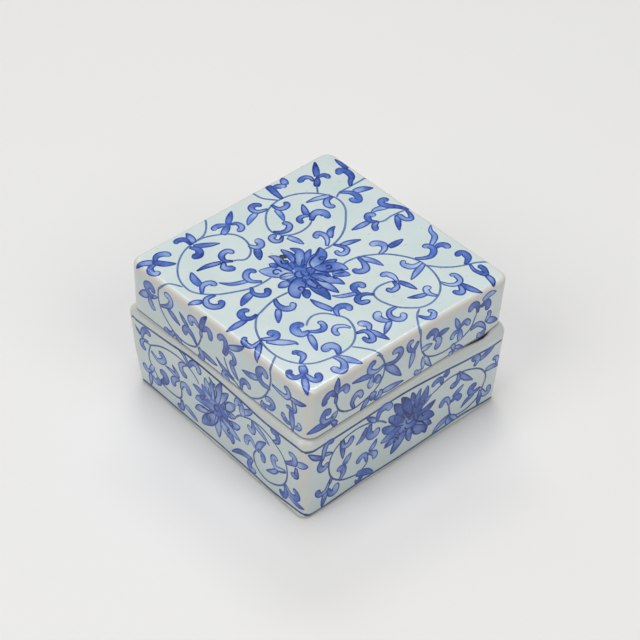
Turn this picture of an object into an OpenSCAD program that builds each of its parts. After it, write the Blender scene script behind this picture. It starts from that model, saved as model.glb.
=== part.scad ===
// Square porcelain seal paste box with a loose lift-off lid, in millimetres.
// The origin is at the middle of the foot, +Z points up, and the walls face -X, +X, -Y and +Y.

/* [Base] */
// Outer width of the base at the widest line of its wall, just below the shoulder
base_w = 100; // [80:1:120]
// Height of the bare seat that the lid rests on, above the table
seat_h = 38.8; // [32:0.2:48]
// How far each wall leans in on its way down to the foot
wall_draft = 2; // [0.4:0.1:2.4]
// Radius of the upright corners at the widest line
base_corner_r = 5.4; // [5:0.1:8]
// Rounding of the white shoulder between the widest line and the seat
shoulder_r = 3.6; // [2.4:0.1:4.4]
// Rounding of the wall's lower edge at the foot
foot_round_r = 1.4; // [0.8:0.1:2]
// Width of the bare foot ring
foot_ring_w = 6; // [4:0.5:9]
// Depth of the glazed recess inside the foot ring
foot_recess_h = 1.2; // [0.6:0.1:2]

/* [Well and flange] */
// Thickness of the well's floor above the foot recess
floor_t = 6.8; // [5:0.2:9]
// Wall of the flange that stands up inside the lid
flange_t = 2.6; // [2:0.1:4]
// Height of the flange above the seat
flange_h = 6.4; // [4:0.2:9]
// Rounding of the flange's two upper edges
flange_edge_r = 0.8; // [0.4:0.1:0.9]
// How far each side of the well leans in on its way down to the floor
well_draft = 1.4; // [0.4:0.1:2]
// Radius of the well's upright corners at its mouth
well_corner_r = 6; // [5:0.2:8]
// Hollow between the well's floor and its sides
well_fillet_r = 3.6; // [2:0.2:3.6]

/* [Lid] */
// How far the lid's wall stands inside the widest line of the base
lid_setback = 1.6; // [1:0.1:2.4]
// Height of the lid from its rim to its flat top
lid_h = 22.2; // [16:0.2:30]
// How far the lid's wall leans in on its way up
lid_draft = 0.3; // [0:0.05:0.8]
// Radius of the lid's upright corners at the rim
lid_corner_r = 4.8; // [4.4:0.1:7]
// Rounding of the lid's top edge
lid_edge_r = 1.8; // [1.2:0.1:3.4]
// Rounding of the lid's rim
rim_round_r = 0.6; // [0.3:0.1:0.9]
// Thickness of the lid's wall
lid_wall_t = 3.4; // [2.8:0.1:4.4]
// Thickness of the lid's top
lid_top_t = 4.6; // [3.4:0.2:6]
// Hollow between the lid's ceiling and its wall
lid_fillet_r = 3; // [1.6:0.2:3.2]
// Play between the lid's wall and the flange, all round
lid_play = 0.95; // [0.9:0.05:1.6]
// How far the loose lid sits turned about the upright axis, in degrees
lid_turn = 1; // [0:0.1:1.1]

/* [Seal paste] */
// Height of the cake of paste above the well's floor
paste_h = 18; // [14:0.5:24]
// Gap between the cake's foot and the well's sides
paste_gap = 2.2; // [1.6:0.2:5]
// Rounding of the cake's upper edge
paste_edge_r = 7; // [4:0.5:7.5]

/* [Hidden] */
$fn = 96;
cut = 1; // how far a cutter runs past the face that it opens

// Half widths of the plan at each height, measured from the upright axis
base_half = base_w / 2;
lid_half = base_half - lid_setback;
lid_inner_half = lid_half - lid_wall_t;
flange_half = lid_inner_half - lid_play;
well_half = flange_half - flange_t;
foot_half = base_half - wall_draft;

// Heights
floor_z = foot_recess_h + floor_t;
flange_top_z = seat_h + flange_h;
well_depth = flange_top_z - floor_z;
shoulder_z = seat_h - shoulder_r;
ceiling_h = lid_h - lid_top_t;

// Corner radii that follow from the ones above
flange_corner_r = 4;
lid_inner_corner_r = flange_corner_r + lid_play / 2;
recess_corner_r = 3;
paste_half = well_half - well_draft - paste_gap;
paste_corner_r = paste_edge_r + 5;

// A quarter of a disc whose round side faces right, and up or down
module quarter_disc(r, up) {
    intersection() {
        circle(r);
        translate([0, up ? 0 : -r])
            square(r);
    }
}

// A solid with a rounded square plan. The child is its wall's profile: x counts outwards from
// the corner's upright axis, y is the height, and the profile starts at x = 0.
module swept_block(half, corner_r, low, high) {
    reach = half - corner_r;
    translate([-reach, -reach, low])
        cube([2 * reach, 2 * reach, high - low]);
    for (turn = [0 : 90 : 270])
        rotate(turn) {
            translate([reach, reach, 0])
                rotate([90, 0, 0])
                    linear_extrude(height = 2 * reach)
                        children();
            translate([reach, reach, 0])
                rotate_extrude(angle = 90)
                    children();
        }
}

// Profile of a tapering wall with a rounded lower and upper edge
module wall_profile(r_low, r_high, low, high, round_low, round_high) {
    polygon([
        [0, low],
        [r_low - round_low, low],
        [r_low, low + round_low],
        [r_high, high - round_high],
        [r_high - round_high, high],
        [0, high]
    ]);
    if (round_low > 0)
        translate([r_low - round_low, low + round_low])
            quarter_disc(round_low, false);
    if (round_high > 0)
        translate([r_high - round_high, high - round_high])
            quarter_disc(round_high, true);
}

module base_body() {
    r_foot = base_corner_r - wall_draft;
    swept_block(base_half, base_corner_r, 0, seat_h)
        wall_profile(r_foot, base_corner_r, 0, seat_h, foot_round_r, shoulder_r);
}

// The flange that the lid drops over, rounded at its outer upper edge
module flange_body() {
    swept_block(flange_half, flange_corner_r, seat_h - cut, flange_top_z)
        wall_profile(flange_corner_r, flange_corner_r, seat_h - cut, flange_top_z, 0, flange_edge_r);
}

module well_cutter() {
    top = flange_top_z + cut;
    spread = well_draft * cut / well_depth;
    r_floor = well_corner_r - well_draft;
    swept_block(well_half, well_corner_r, floor_z, top)
        wall_profile(r_floor, well_corner_r + spread, floor_z, top, well_fillet_r, 0);
}

module foot_recess_cutter() {
    half = foot_half - foot_ring_w;
    swept_block(half, recess_corner_r, -cut, foot_recess_h)
        wall_profile(recess_corner_r, recess_corner_r, -cut, foot_recess_h, 0, foot_recess_h / 2);
}

module base() {
    color([0.88, 0.91, 0.9])
        difference() {
            union() {
                base_body();
                flange_body();
            }
            well_cutter();
            foot_recess_cutter();
        }
}

module lid_body() {
    r_top = lid_corner_r - lid_draft;
    swept_block(lid_half, lid_corner_r, 0, lid_h)
        wall_profile(lid_corner_r, r_top, 0, lid_h, rim_round_r, lid_edge_r);
}

module lid_cutter() {
    swept_block(lid_inner_half, lid_inner_corner_r, -cut, ceiling_h)
        wall_profile(lid_inner_corner_r, lid_inner_corner_r, -cut, ceiling_h, 0, lid_fillet_r);
}

// The loose lid, as far turned on its seat as the play lets it sit
module lid() {
    color([0.86, 0.9, 0.91])
        translate([0, 0, seat_h])
            rotate(lid_turn)
                difference() {
                    lid_body();
                    lid_cutter();
                }
}

// The kneaded cake of cinnabar paste on the well's floor
module seal_paste() {
    color([0.75, 0.12, 0.08])
        swept_block(paste_half, paste_corner_r, floor_z, floor_z + paste_h)
            wall_profile(paste_corner_r, paste_corner_r, floor_z, floor_z + paste_h, 2, paste_edge_r);
}

base();
lid();
seal_paste();
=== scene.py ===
# Square porcelain seal paste box with a loose lid, painted all over with a lotus scroll in
# cobalt blue under the glaze. Lengths are in millimetres until a mesh is made of them.
import math
import random

import bpy
import numpy as np
from mathutils import Matrix, Vector, noise


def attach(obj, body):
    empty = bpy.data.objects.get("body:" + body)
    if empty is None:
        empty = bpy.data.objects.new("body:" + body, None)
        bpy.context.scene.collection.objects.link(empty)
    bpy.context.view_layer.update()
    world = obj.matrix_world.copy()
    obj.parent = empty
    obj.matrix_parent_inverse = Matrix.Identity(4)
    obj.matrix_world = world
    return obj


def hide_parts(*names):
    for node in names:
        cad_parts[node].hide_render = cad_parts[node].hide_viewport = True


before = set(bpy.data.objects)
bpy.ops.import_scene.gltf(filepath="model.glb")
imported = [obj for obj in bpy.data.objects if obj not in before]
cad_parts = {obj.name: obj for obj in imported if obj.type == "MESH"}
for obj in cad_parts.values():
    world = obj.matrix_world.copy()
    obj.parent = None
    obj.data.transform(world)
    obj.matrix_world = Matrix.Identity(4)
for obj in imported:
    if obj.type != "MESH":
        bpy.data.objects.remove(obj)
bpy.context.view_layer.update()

MM = 0.001

# Sizes of the porcelain, the same as in the part's source. A plan is a square that reaches HALF
# from its middle. Its corners turn with the radius R about points that lie at REACH. The glaze
# lies SKIN inside the solid, so that the raised strokes of paint stay within it.
SKIN = 0.1
BASE_HALF = 50
BASE_SOLID_R = 5.4
BASE_REACH = BASE_HALF - BASE_SOLID_R
BASE_CORNER_R = BASE_SOLID_R - SKIN
WALL_DRAFT = 2
FOOT_ROUND_R = 1.4
FOOT_RING_W = 6
FOOT_R = BASE_CORNER_R - WALL_DRAFT
RECESS_H = 1.2
RECESS_R = 3
SEAT_Z = 38.8
SHOULDER_R = 3.6
SHOULDER_Z = SEAT_Z - SHOULDER_R

LID_SETBACK = 1.6
LID_HALF = BASE_HALF - LID_SETBACK
LID_SOLID_R = 4.8
LID_REACH = LID_HALF - LID_SOLID_R
LID_CORNER_R = LID_SOLID_R - SKIN
LID_DRAFT = 0.3
LID_H = 22.2
LID_TOP_Z = SEAT_Z + LID_H - SKIN
LID_EDGE_R = 1.8
LID_EDGE_Z = SEAT_Z + LID_H - LID_EDGE_R
LID_BEND_Z = LID_EDGE_Z - SKIN
# Half width of the flat part of the lid's top
LID_FLAT_HALF = LID_REACH + LID_CORNER_R - LID_DRAFT - LID_EDGE_R
RIM_ROUND_R = 0.6
LID_WALL_T = 3.4
LID_TOP_T = 4.6
LID_FILLET_R = 3
LID_PLAY = 0.95
LID_TURN = math.radians(1)

FLANGE_R = 4
LID_INNER_HALF = LID_HALF - LID_WALL_T
LID_INNER_R = FLANGE_R + LID_PLAY / 2
LID_INNER_REACH = LID_INNER_HALF - LID_INNER_R
FLANGE_HALF = LID_INNER_HALF - LID_PLAY
FLANGE_REACH = FLANGE_HALF - FLANGE_R
FLANGE_T = 2.6
FLANGE_H = 6.4
FLANGE_TOP_Z = SEAT_Z + FLANGE_H
FLANGE_EDGE_R = 0.8

WELL_HALF = FLANGE_HALF - FLANGE_T
WELL_R = 6
WELL_REACH = WELL_HALF - WELL_R
WELL_DRAFT = 1.4
WELL_FILLET_R = 3.6
FLOOR_T = 6.8
FLOOR_Z = RECESS_H + FLOOR_T

PASTE_H = 18
PASTE_EDGE_R = 7
PASTE_R = PASTE_EDGE_R + 5
PASTE_GAP = 2.2
PASTE_REACH = WELL_HALF - WELL_DRAFT - PASTE_GAP - PASTE_R

# Small roundings that only the glaze has: of the foot ring's inner edge and the flange's foot, of
# the well's mouth, and of the rim's inner edge
INNER_EDGE_R = 0.3
MOUTH_R = 0.6
RIM_INNER_R = 0.4

# The camera, fitted to the corners of the box in the photograph. Its distance and the height that
# it looks at are in metres.
CAMERA_ELEVATION = math.radians(42.03)
CAMERA_AZIMUTH = math.radians(-41.86)
CAMERA_ROLL = math.radians(1.12)
CAMERA_DISTANCE = 0.8854
CAMERA_TARGET_Z = 0.028
CAMERA_LENS = 135
CAMERA_SENSOR = 36
CAMERA_NEAR = 0.05
FRAME_PIXELS = 640
SHIFT_RIGHT_PIXELS = 2.35
SHIFT_UP_PIXELS = 15.44

# The direction to the eye, as a unit vector
EYE = (
    math.sin(CAMERA_AZIMUTH) * math.cos(CAMERA_ELEVATION),
    -math.cos(CAMERA_AZIMUTH) * math.cos(CAMERA_ELEVATION),
    math.sin(CAMERA_ELEVATION),
)


# How much darker or paler than the rest a stroke is painted
DARK = 0.17
PALE = -0.17

LID_TOP_STEMS = [
    # The four coils that spring from the flower: upper left, upper right, lower left, lower right
    [(-16.5, 7.2), (-20, 6.9), (-24, 7.2), (-27.5, 8), (-32, 10), (-37, 12.7), (-41, 16.5),
     (-43, 20), (-43.2, 23), (-42.4, 27), (-40.3, 31), (-37, 34.7), (-32.5, 38), (-28, 39.8),
     (-24, 40.3), (-20, 40), (-15.5, 38), (-13, 36.5), (-10.8, 34), (-9.9, 31), (-10.1, 28),
     (-11, 25.5), (-12.5, 23), (-15, 21.2), (-17.5, 21), (-19.5, 22.5), (-21.5, 23.3)],
    [(8, 6.3), (11, 6.1), (14, 6.5), (18, 7.9), (22, 10.3), (26, 14), (30, 18.6), (31.6, 23),
     (31.2, 27), (29, 31), (25, 35), (20, 37.7), (15, 38.5), (11, 38), (6.5, 36), (3, 32.5),
     (1, 29), (0.6, 26), (2, 22.5), (5, 20.2), (9, 19.4), (13, 20), (16, 21.5)],
    [(-17, -2.9), (-22.5, -2.5), (-27, -3.2), (-31, -4.3), (-34.5, -5.5), (-38.5, -9.5), (-41, -14),
     (-42.5, -19), (-42.8, -24), (-41.8, -29), (-39, -33.7), (-35, -36.7), (-30, -38.2),
     (-25, -38.9), (-20, -38.5), (-16, -36.4), (-13, -33), (-11.4, -29), (-11.4, -26), (-13, -23),
     (-15.5, -19.5), (-19, -18), (-22, -18.7), (-24.5, -20.5)],
    [(7, -4.6), (10, -4.2), (14.5, -5), (19, -7.2), (23.5, -10.5), (27, -15), (29.3, -19.5),
     (30, -24), (29.4, -29), (27.5, -34), (24.5, -37.5), (21, -39.6), (17, -40.6), (13, -40),
     (9.8, -37.8), (6.5, -34.3), (4.7, -30), (4.1, -26.5), (5, -23.5), (7.5, -22.1), (10, -21.8),
     (13, -22.3), (15, -23)],
    # The branches that run over the edges
    [(-24, 40.4), (-20, 41), (-17, 43), (-14, 46.5), (-12.5, 50)],
    [(-43.8, 24), (-45.2, 27), (-47, 29), (-50, 29.2)],
    [(-42.8, -25), (-46, -27), (-50, -29.8)],
    [(-19.8, -39), (-17.5, -42), (-15.2, -46), (-15, -50)],
    [(11.8, -40), (8.5, -42.2), (5.5, -46), (2.8, -50)],
    [(14.5, 38.6), (12, 41.5), (10.5, 44), (10.1, 47.8), (10.6, 50)],
    [(32, 25.6), (35, 27), (40, 27), (47.5, 27.1), (50, 27.6)],
    [(30, -24.5), (33, -28.5), (37, -31.8), (41, -33.8), (44, -35), (46.3, -36.4), (49, -38.5)],
    [(47, 3.2), (45, 3.6), (40, 4.2), (36, 3.9), (33.5, 5)],
    [(28.3, 31.9), (31, 35.5)],
]
LID_TOP_LEAVES = [
    # Upper left corner
    (2.6, [(-42.8, 41), (-46.5, 43.2), (-49.8, 42.8)]),
    (2.6, DARK, [(-42.8, 41.5), (-41, 38.5), (-37.3, 35.3)]),
    (2.6, [(-25, 40.5), (-24, 44), (-23.5, 46.3)]),
    (2.2, [(-26, 38.6), (-22.5, 36.3), (-18, 33.8)]),
    (1.9, [(-25, 25.4), (-30, 27), (-34.5, 27.4)]),
    (2.6, [(-38.5, 20.8), (-38, 24.5), (-36.3, 28.2)]),
    (1.7, PALE, [(-23.5, 11), (-29.5, 13.6), (-32.7, 17.3)]),
    (2.2, [(-44, 13.5), (-46.5, 14.9), (-48.7, 15.3)]),
    (2.6, [(-27.8, 5.2), (-31, 4.4), (-35, 2.5)]),
    (2.2, [(-39, -4.3), (-43, -4.3), (-47.8, -4.4)]),
    (2.4, [(-13.7, 37), (-8, 40.2)]),
    (2.1, DARK, [(-8.5, 40.5), (-5.5, 43), (-2.8, 45.2)]),
    (2.6, [(-10, 22.5), (-11.5, 20), (-13.4, 17)]),
    # Lower left corner
    (2.1, [(-26.3, -7.6), (-28.2, -9.8), (-31, -13)]),
    (2.0, [(-43, -16.8), (-46, -19.3), (-50, -23)]),
    (2.6, PALE, [(-40, -17.5), (-37, -21), (-33.5, -24.3), (-33.2, -26)]),
    (2.2, [(-27, -25), (-28.4, -28.5), (-30.4, -32.5)]),
    (2.6, [(-39.5, -35), (-41, -37.5), (-43, -40)]),
    (2.2, [(-43, -40), (-45, -43), (-47.8, -46.8)]),
    (2.6, PALE, [(-27, -40), (-24.8, -43.8), (-22.8, -47.8)]),
    (2.4, [(-12, -20), (-13.6, -15), (-14, -10.8)]),
    (1.8, PALE, [(1, -19.5), (-4.5, -17), (-7, -14.5)]),
    (2.2, [(-9.5, -37.3), (-8.4, -41), (-7.4, -45)]),
    (1.9, PALE, [(-0.8, -38), (-4, -40), (-7, -41.8)]),
    # Lower right corner
    (2.0, [(16.5, -25), (17.6, -28.5), (18.4, -32)]),
    (2.2, PALE, [(29.5, -23.5), (25, -25), (20.3, -26.8)]),
    (1.8, [(19, -36), (16, -35), (12.5, -33)]),
    (2.4, [(32, -40.5), (33, -44.5), (34.6, -48.8)]),
    (2.0, PALE, [(39.5, -17.5), (43.6, -15), (44.9, -11.5), (47.2, -9.2)]),
    (2.0, [(42.5, -43), (42, -46), (40, -49)]),
    (2.0, [(14.5, 4), (18.5, 3), (22.2, 1.5)]),
    (2.3, [(27.3, -8.3), (30.8, -8.4), (34, -8.3)]),
    (2.3, PALE, [(15.2, -6.2), (17.3, -10.5), (18.3, -14.6)]),
    (2.0, [(41.5, 2.8), (38.8, -0.7), (36.3, -3.9)]),
    # Upper right corner
    (2.2, [(14.6, 10), (17, 12.5), (20.2, 13.6)]),
    (2.2, [(31.2, 7.2), (27, 7.4), (23.2, 7.8)]),
    (2.2, PALE, [(42.5, 9), (38.5, 10.6), (35.3, 10.4)]),
    (2.2, [(16.5, 24.5), (17.9, 27.7), (19.7, 31)]),
    (2.0, PALE, [(30.5, 28), (26, 29.8), (21.2, 30.8)]),
    (2.2, DARK, [(31, 35.5), (35, 39.5)]),
    (2.2, DARK, [(35, 40), (37.5, 43.3), (40.2, 46.8)]),
    (2.6, [(22.8, 44), (24.5, 48)]),
    (1.7, DARK, [(46.8, 36), (47, 43)]),
    (2.7, [(39.5, 23.8), (42.8, 22.8), (46.2, 20.7)]),
    (2.2, PALE, [(3, 38.2), (-0.5, 37), (-3.8, 35)]),
    (2.0, PALE, [(10, 34.5), (9.5, 31.5), (8, 28)]),
    (2.3, PALE, [(3, 19.8), (4, 17), (4.7, 13.3)]),
]
LID_TOP_CURLS = [
    # Upper left corner
    (2.2, [(-42.5, 41.5), (-40.5, 43.3), (-38, 43.3), (-36.2, 41.8), (-36.8, 40)]),
    (2.2, [(-43.5, 40.2), (-46, 39.8), (-47.6, 37.5), (-46.5, 35.6), (-44.5, 36.2)]),
    (2.0, DARK, [(-26.2, 40.2), (-26, 43.5), (-27.5, 45), (-29.5, 45), (-29.8, 43.6)]),
    (2.4, DARK, [(-27.5, 39), (-26, 36.5), (-26.8, 34.3), (-28.5, 33.2), (-31, 34.4)]),
    (2.0, [(-21.5, 23.2), (-23.3, 25), (-23, 27.5), (-21.3, 29), (-19, 29.1), (-17.9, 27.6),
     (-18.9, 26.3)]),
    (2.4, [(-24.3, 24.5), (-26.2, 22.5), (-24.8, 20.3), (-22.6, 19.8)]),
    (1.9, [(-41, 17), (-38.5, 19.8), (-36, 20.2), (-34.2, 18.8), (-34.5, 16.6)]),
    (2.0, [(-21, 7.8), (-23.5, 10), (-23.8, 13), (-22, 15), (-20, 15.3), (-19, 14), (-19.8, 12.9)]),
    (2.3, [(-38.3, 13.3), (-41.5, 13.8), (-43.6, 11.5), (-43, 8.6), (-40.6, 7.2), (-38.7, 8.4),
     (-39.5, 9.8)]),
    (1.9, DARK, [(-25.8, 7.6), (-27.4, 5), (-26.3, 2.2), (-24, 1), (-22, 2.3), (-22.4, 4.2)]),
    (2.2, DARK, [(-34, -4.8), (-36.5, -5), (-38.5, -3.5), (-38.5, -1), (-36.8, 0.2), (-35, -0.3),
     (-35.3, -1.6)]),
    (2.2, [(-9.5, 40.5), (-12, 42), (-14.2, 41.8), (-14.4, 40.4)]),
    (1.9, [(-7.8, 39.5), (-5.8, 38.5), (-5.6, 35.8), (-7.2, 34.5), (-8.8, 35.3)]),
    (2.4, PALE, [(-11, 25.5), (-10, 23.3), (-7.8, 22.7), (-6.2, 24.8), (-7.2, 27)]),
    # Lower left corner
    (2.3, [(-23.8, -2.8), (-25, -5.5), (-24.6, -8.8), (-22.3, -10.2), (-20.4, -9), (-21.3, -7.9)]),
    (1.9, [(-42, -16), (-45.8, -16.5), (-47, -14.5), (-46.8, -12.5), (-45.2, -11.2), (-44.5, -12)]),
    (2.3, [(-41, -15.7), (-39, -17.3), (-36.8, -18.3), (-35, -16.8), (-36, -14.8), (-37.8, -15.8)]),
    (3.0, [(-26, -23.5), (-29, -23), (-29.6, -20), (-28, -18), (-26, -18.4), (-25.9, -20.2)]),
    (1.9, [(-25.8, -23.5), (-24, -25.2), (-21.5, -26), (-19.6, -24.8), (-19.4, -22.5),
     (-20.8, -22.4)]),
    (2.0, [(-38.5, -33.4), (-35.6, -31.8), (-35.4, -29.6), (-36.8, -27.9), (-37.3, -29.2)]),
    (1.8, PALE, [(-13.5, -31), (-14.5, -29), (-17, -27.5), (-19, -28.6), (-19.5, -30.5),
     (-18.4, -31.4)]),
    (2.0, DARK, [(-41.5, -38.4), (-45, -38.2), (-46.1, -36), (-45, -34), (-43.6, -34.8)]),
    (2.2, [(-41.5, -39), (-41.6, -42.5), (-39.8, -43.9), (-38.2, -42.6), (-38.2, -40.6)]),
    (2.8, [(-25.5, -38.7), (-23.8, -36), (-24.8, -33.4), (-27.3, -33.2), (-28.2, -35.4)]),
    (2.3, PALE, [(-27.8, -38.8), (-27, -42.3), (-28.6, -45.2), (-31, -46.2), (-32.4, -44),
     (-31.6, -42)]),
    (2.3, [(-12.6, -23.6), (-11.3, -21), (-8.8, -20.3), (-6.6, -21.5), (-6.4, -23.3), (-8, -24.4)]),
    (2.4, PALE, [(-9, -36.5), (-7.6, -34.6), (-8.6, -32.3), (-10.6, -32.2)]),
    (2.0, [(-13.5, -34.8), (-10.8, -35.8), (-10.2, -38.5), (-11.5, -41.3), (-13.5, -41),
     (-13.6, -38.8), (-12.6, -38.6)]),
    (2.6, PALE, [(-1, -37.8), (-2.6, -36), (-3, -33.6), (-1.5, -32.3), (0.2, -33)]),
    # Lower right corner
    (2.3, [(1, -20.3), (1, -17.5), (2.3, -15.6), (4.8, -16), (5.3, -17.7), (3.6, -18.1)]),
    (1.9, [(4.8, -23.6), (3, -21.6), (0.5, -20.8), (-2, -22), (-1.8, -24.3), (0.3, -25.2),
     (1.6, -24.6)]),
    (1.9, [(8.8, -43), (10, -45.6), (12.2, -46.6), (14.2, -45.2), (13.8, -43.4), (12.8, -43.8)]),
    (2.0, PALE, [(6, -33.8), (3, -33.7), (0.9, -35.8), (1.2, -38.6), (3.2, -40.2), (5.3, -39.2),
     (5, -37.4)]),
    (2.2, PALE, [(16.3, -24), (17, -21.3), (16.3, -18.8), (14.8, -18), (13.8, -19.3)]),
    (1.9, [(15, -23.5), (14.6, -26), (13, -27), (11, -26.8), (10.3, -25.5), (11.6, -25)]),
    (2.3, PALE, [(29.8, -22.4), (27, -22.6), (24.8, -21.5), (24, -19.2), (25, -17.8), (26, -18.3)]),
    (1.9, PALE, [(21.2, -39.2), (19.8, -37), (20, -34.5), (21.5, -33.4), (22.8, -34.8)]),
    (1.8, PALE, [(27.2, -35), (28.6, -38), (31, -39.5), (33.6, -38.8), (34.4, -36), (33.4, -34.4),
     (32.6, -35.2)]),
    (2.2, [(31.5, -40.5), (30.5, -43), (28.7, -43.9), (27.6, -42.3), (28.2, -41)]),
    (2.0, [(29.8, -19.6), (32, -21.3), (35, -22.3), (38, -20.8), (38.9, -18.5), (37.8, -16.5),
     (36, -17)]),
    (2.2, [(39.5, -19.5), (41.8, -19.3), (43.6, -21), (43, -23.3)]),
    (2.4, DARK, [(41.5, -33.6), (44.6, -31.8), (45.4, -29), (44.3, -27.4), (42.8, -27.8),
     (42.5, -29)]),
    (1.7, [(42, -34.8), (41, -38), (42, -41.8), (43.2, -42.2), (44.6, -39.5), (44.4, -36.8)]),
    (1.9, [(13, 5.8), (14.7, 3.2), (14.8, 0.8), (13, -0.5), (11, -0.1), (10.4, 1.8), (11.8, 2.4)]),
    (2.3, PALE, [(22.2, -9), (25, -8.3), (26.6, -6.2), (25.7, -3.8), (24, -2.9), (22.4, -3.9)]),
    (2.3, [(14.7, -5.3), (14.2, -9), (12.5, -12), (10, -12), (8.5, -10.3), (9.7, -9)]),
    # Upper right corner
    (2.0, PALE, [(10.7, 7.2), (13, 9.5), (14, 12.5), (12.8, 14.9), (10.8, 14), (11.3, 12.4)]),
    (2.1, [(33.5, 5), (31.8, 6.8), (32.2, 9.3), (33.8, 10.5), (35.2, 9.6), (35.5, 8)]),
    (2.0, [(33.5, 5), (31.5, 4.6), (30.2, 2.8), (30.3, 1.3)]),
    (2.2, DARK, [(47, 3), (45.2, 6.3), (42.8, 9), (41.8, 11.6), (43, 13.3), (44.8, 13), (45, 11.3)]),
    (1.8, [(46.6, 3), (46, 0.2), (44.4, -2), (42.3, -0.8), (42, 2), (42.6, 3.5)]),
    (1.8, [(17, 24.5), (15, 25.8), (12.8, 25.5), (12.2, 23.8), (13, 22.6)]),
    (2.8, [(16, 22), (18.5, 24), (21, 24), (22.7, 22), (21.8, 19.6), (20.6, 19.2)]),
    (2.2, [(30.8, 27.2), (28, 27), (26.2, 24.8), (26.8, 22.8), (28.5, 22.7)]),
    (1.9, [(32.2, 38.8), (32.6, 41), (30.8, 42.6), (28.5, 42.2), (27.6, 40.8)]),
    (1.8, [(35, 39.3), (37.3, 39), (38.3, 37.3), (37, 35.9)]),
    (2.2, DARK, [(16, 38.6), (16, 41), (16.3, 44), (16.8, 48)]),
    (2.2, [(17, 45), (19.5, 45.3), (21.5, 43.8), (21.3, 42.4)]),
    (2.3, DARK, [(41, 27.3), (42.5, 29), (45, 31), (45.7, 34.5), (44, 37.2), (42.5, 36), (42, 34.8)]),
    (2.2, [(35.3, 26.9), (38, 24.5), (38.8, 21), (37, 18.5), (35.3, 20), (35.8, 22)]),
    (2.0, [(7.5, 37.2), (4.6, 38), (3.1, 39.8), (3.6, 42), (5.6, 42.6), (7.3, 41.2), (6.2, 40.4)]),
    (1.9, [(10.5, 37.8), (10.8, 35), (12.3, 33.6), (14.6, 33.6), (15.7, 35), (14.6, 36.2)]),
    (2.0, [(1, 25.5), (3, 23.5), (5.8, 23), (8, 24.6), (7.8, 26.8), (6.2, 26.6)]),
    (1.9, [(1.5, 21.5), (-0.5, 20.2), (-2.5, 21.5), (-2.4, 23.8), (-0.8, 24.4), (0.6, 23.5)]),
]
LID_TOP_PETALS = [
    (3.8, PALE, [(-9, 3), (-12, 4), (-14.8, 4.6)]),
    (6.4, PALE, [(-8, 4), (-13, 8), (-15.8, 10.8), (-17.5, 13)]),
    (2.8, [(-11.2, 9.8), (-11.6, 11.4), (-12.2, 13.4)]),
    (3.6, [(-8.5, 5), (-8.6, 10), (-8.2, 14), (-9.7, 16.7)]),
    (3.2, [(-4.5, 7), (-3.4, 12), (-3.7, 16.6)]),
    (3.0, DARK, [(-3, 4), (1, 7.6), (4.7, 9.7)]),
    (3.9, [(-5, 4.5), (-1.8, 8.5), (0.4, 11.4), (-0.7, 15)]),
    (3.0, DARK, [(2, 0.4), (5.4, -0.5), (8, -0.9)]),
    (5.6, [(-3.5, 1.5), (1.5, 3.6), (5.4, 4.9), (7.8, 8.3)]),
    (3.6, [(1.2, -5.6), (4, -8), (5.7, -10.6)]),
    (5.6, [(-3.5, 0), (1.5, -1.8), (5.4, -4), (7.3, -7.8)]),
    (4.2, [(-5, -1), (-2.8, -6), (-0.2, -9.6), (0.8, -13)]),
    (3.4, [(-4.9, -4), (-4.6, -9), (-3.9, -15)]),
    (4.4, DARK, [(-7.5, -2), (-8.2, -8), (-8.1, -12), (-8.9, -15.9)]),
    (3.2, DARK, [(-11.4, -6), (-13.2, -8), (-14.4, -10.1)]),
    (6.0, [(-8.5, -0.5), (-13, -2.8), (-15.8, -5), (-16.7, -8)]),
    (3.6, [(-13, 1), (-15.6, 1.2), (-18.5, 1.2)]),
]
LID_TOP_LINES = [
    (0.6, [(-2, 1.5), (-1.2, 3.8), (1, 5.2), (4, 6), (7.6, 8)]),
    (0.6, [(-2, 1.5), (-1.6, -0.8), (0.3, -3.6), (3, -5.2), (6, -6.2)]),
    (0.5, [(-5.5, -2.4), (-4.6, -6), (-3, -8.3)]),
    (0.5, [(-9.3, -1), (-9.4, -5), (-8.6, -8)]),
    (0.5, [(-10.2, 0.9), (-12, 0.7), (-14, 0)]),
    (0.5, [(-6.2, 5.6), (-5, 7.8), (-3, 9.6), (-2.3, 12.4)]),
    (0.5, [(-8.8, 4), (-9.4, 7), (-10.4, 9.6)]),
    (0.4, [(-6.6, -2.2), (-6.9, -5), (-6.4, -9.4)]),
    (0.4, [(-4.6, 3.6), (-3.4, 5.6), (-1.2, 7.4)]),
    (0.4, [(-8.8, 3.4), (-11, 5.2), (-14, 5.6)]),
    (0.4, [(1.8, -6.4), (3.4, -7.2), (5.2, -8)]),
]
LID_TOP_EYES = [
    # Round curls inside the petals: centre, then radius
    (-13.3, 8, 1.8),
    (-7.1, 10.4, 1.6),
    (4, 3, 1.3),
    (2.8, -2, 1.4),
    (-0.4, -5.4, 1.0),
    (0.8, -8, 0.9),
    (-7.1, -8.2, 1.3),
    (-12.8, -4.5, 1.4),
    (-3.9, 4.4, 0.8),
    (-7.9, 1.3, 2.4),
    (-3.6, 1, 2.0),
    (-5.8, 0.6, 1.8),
]
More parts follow.
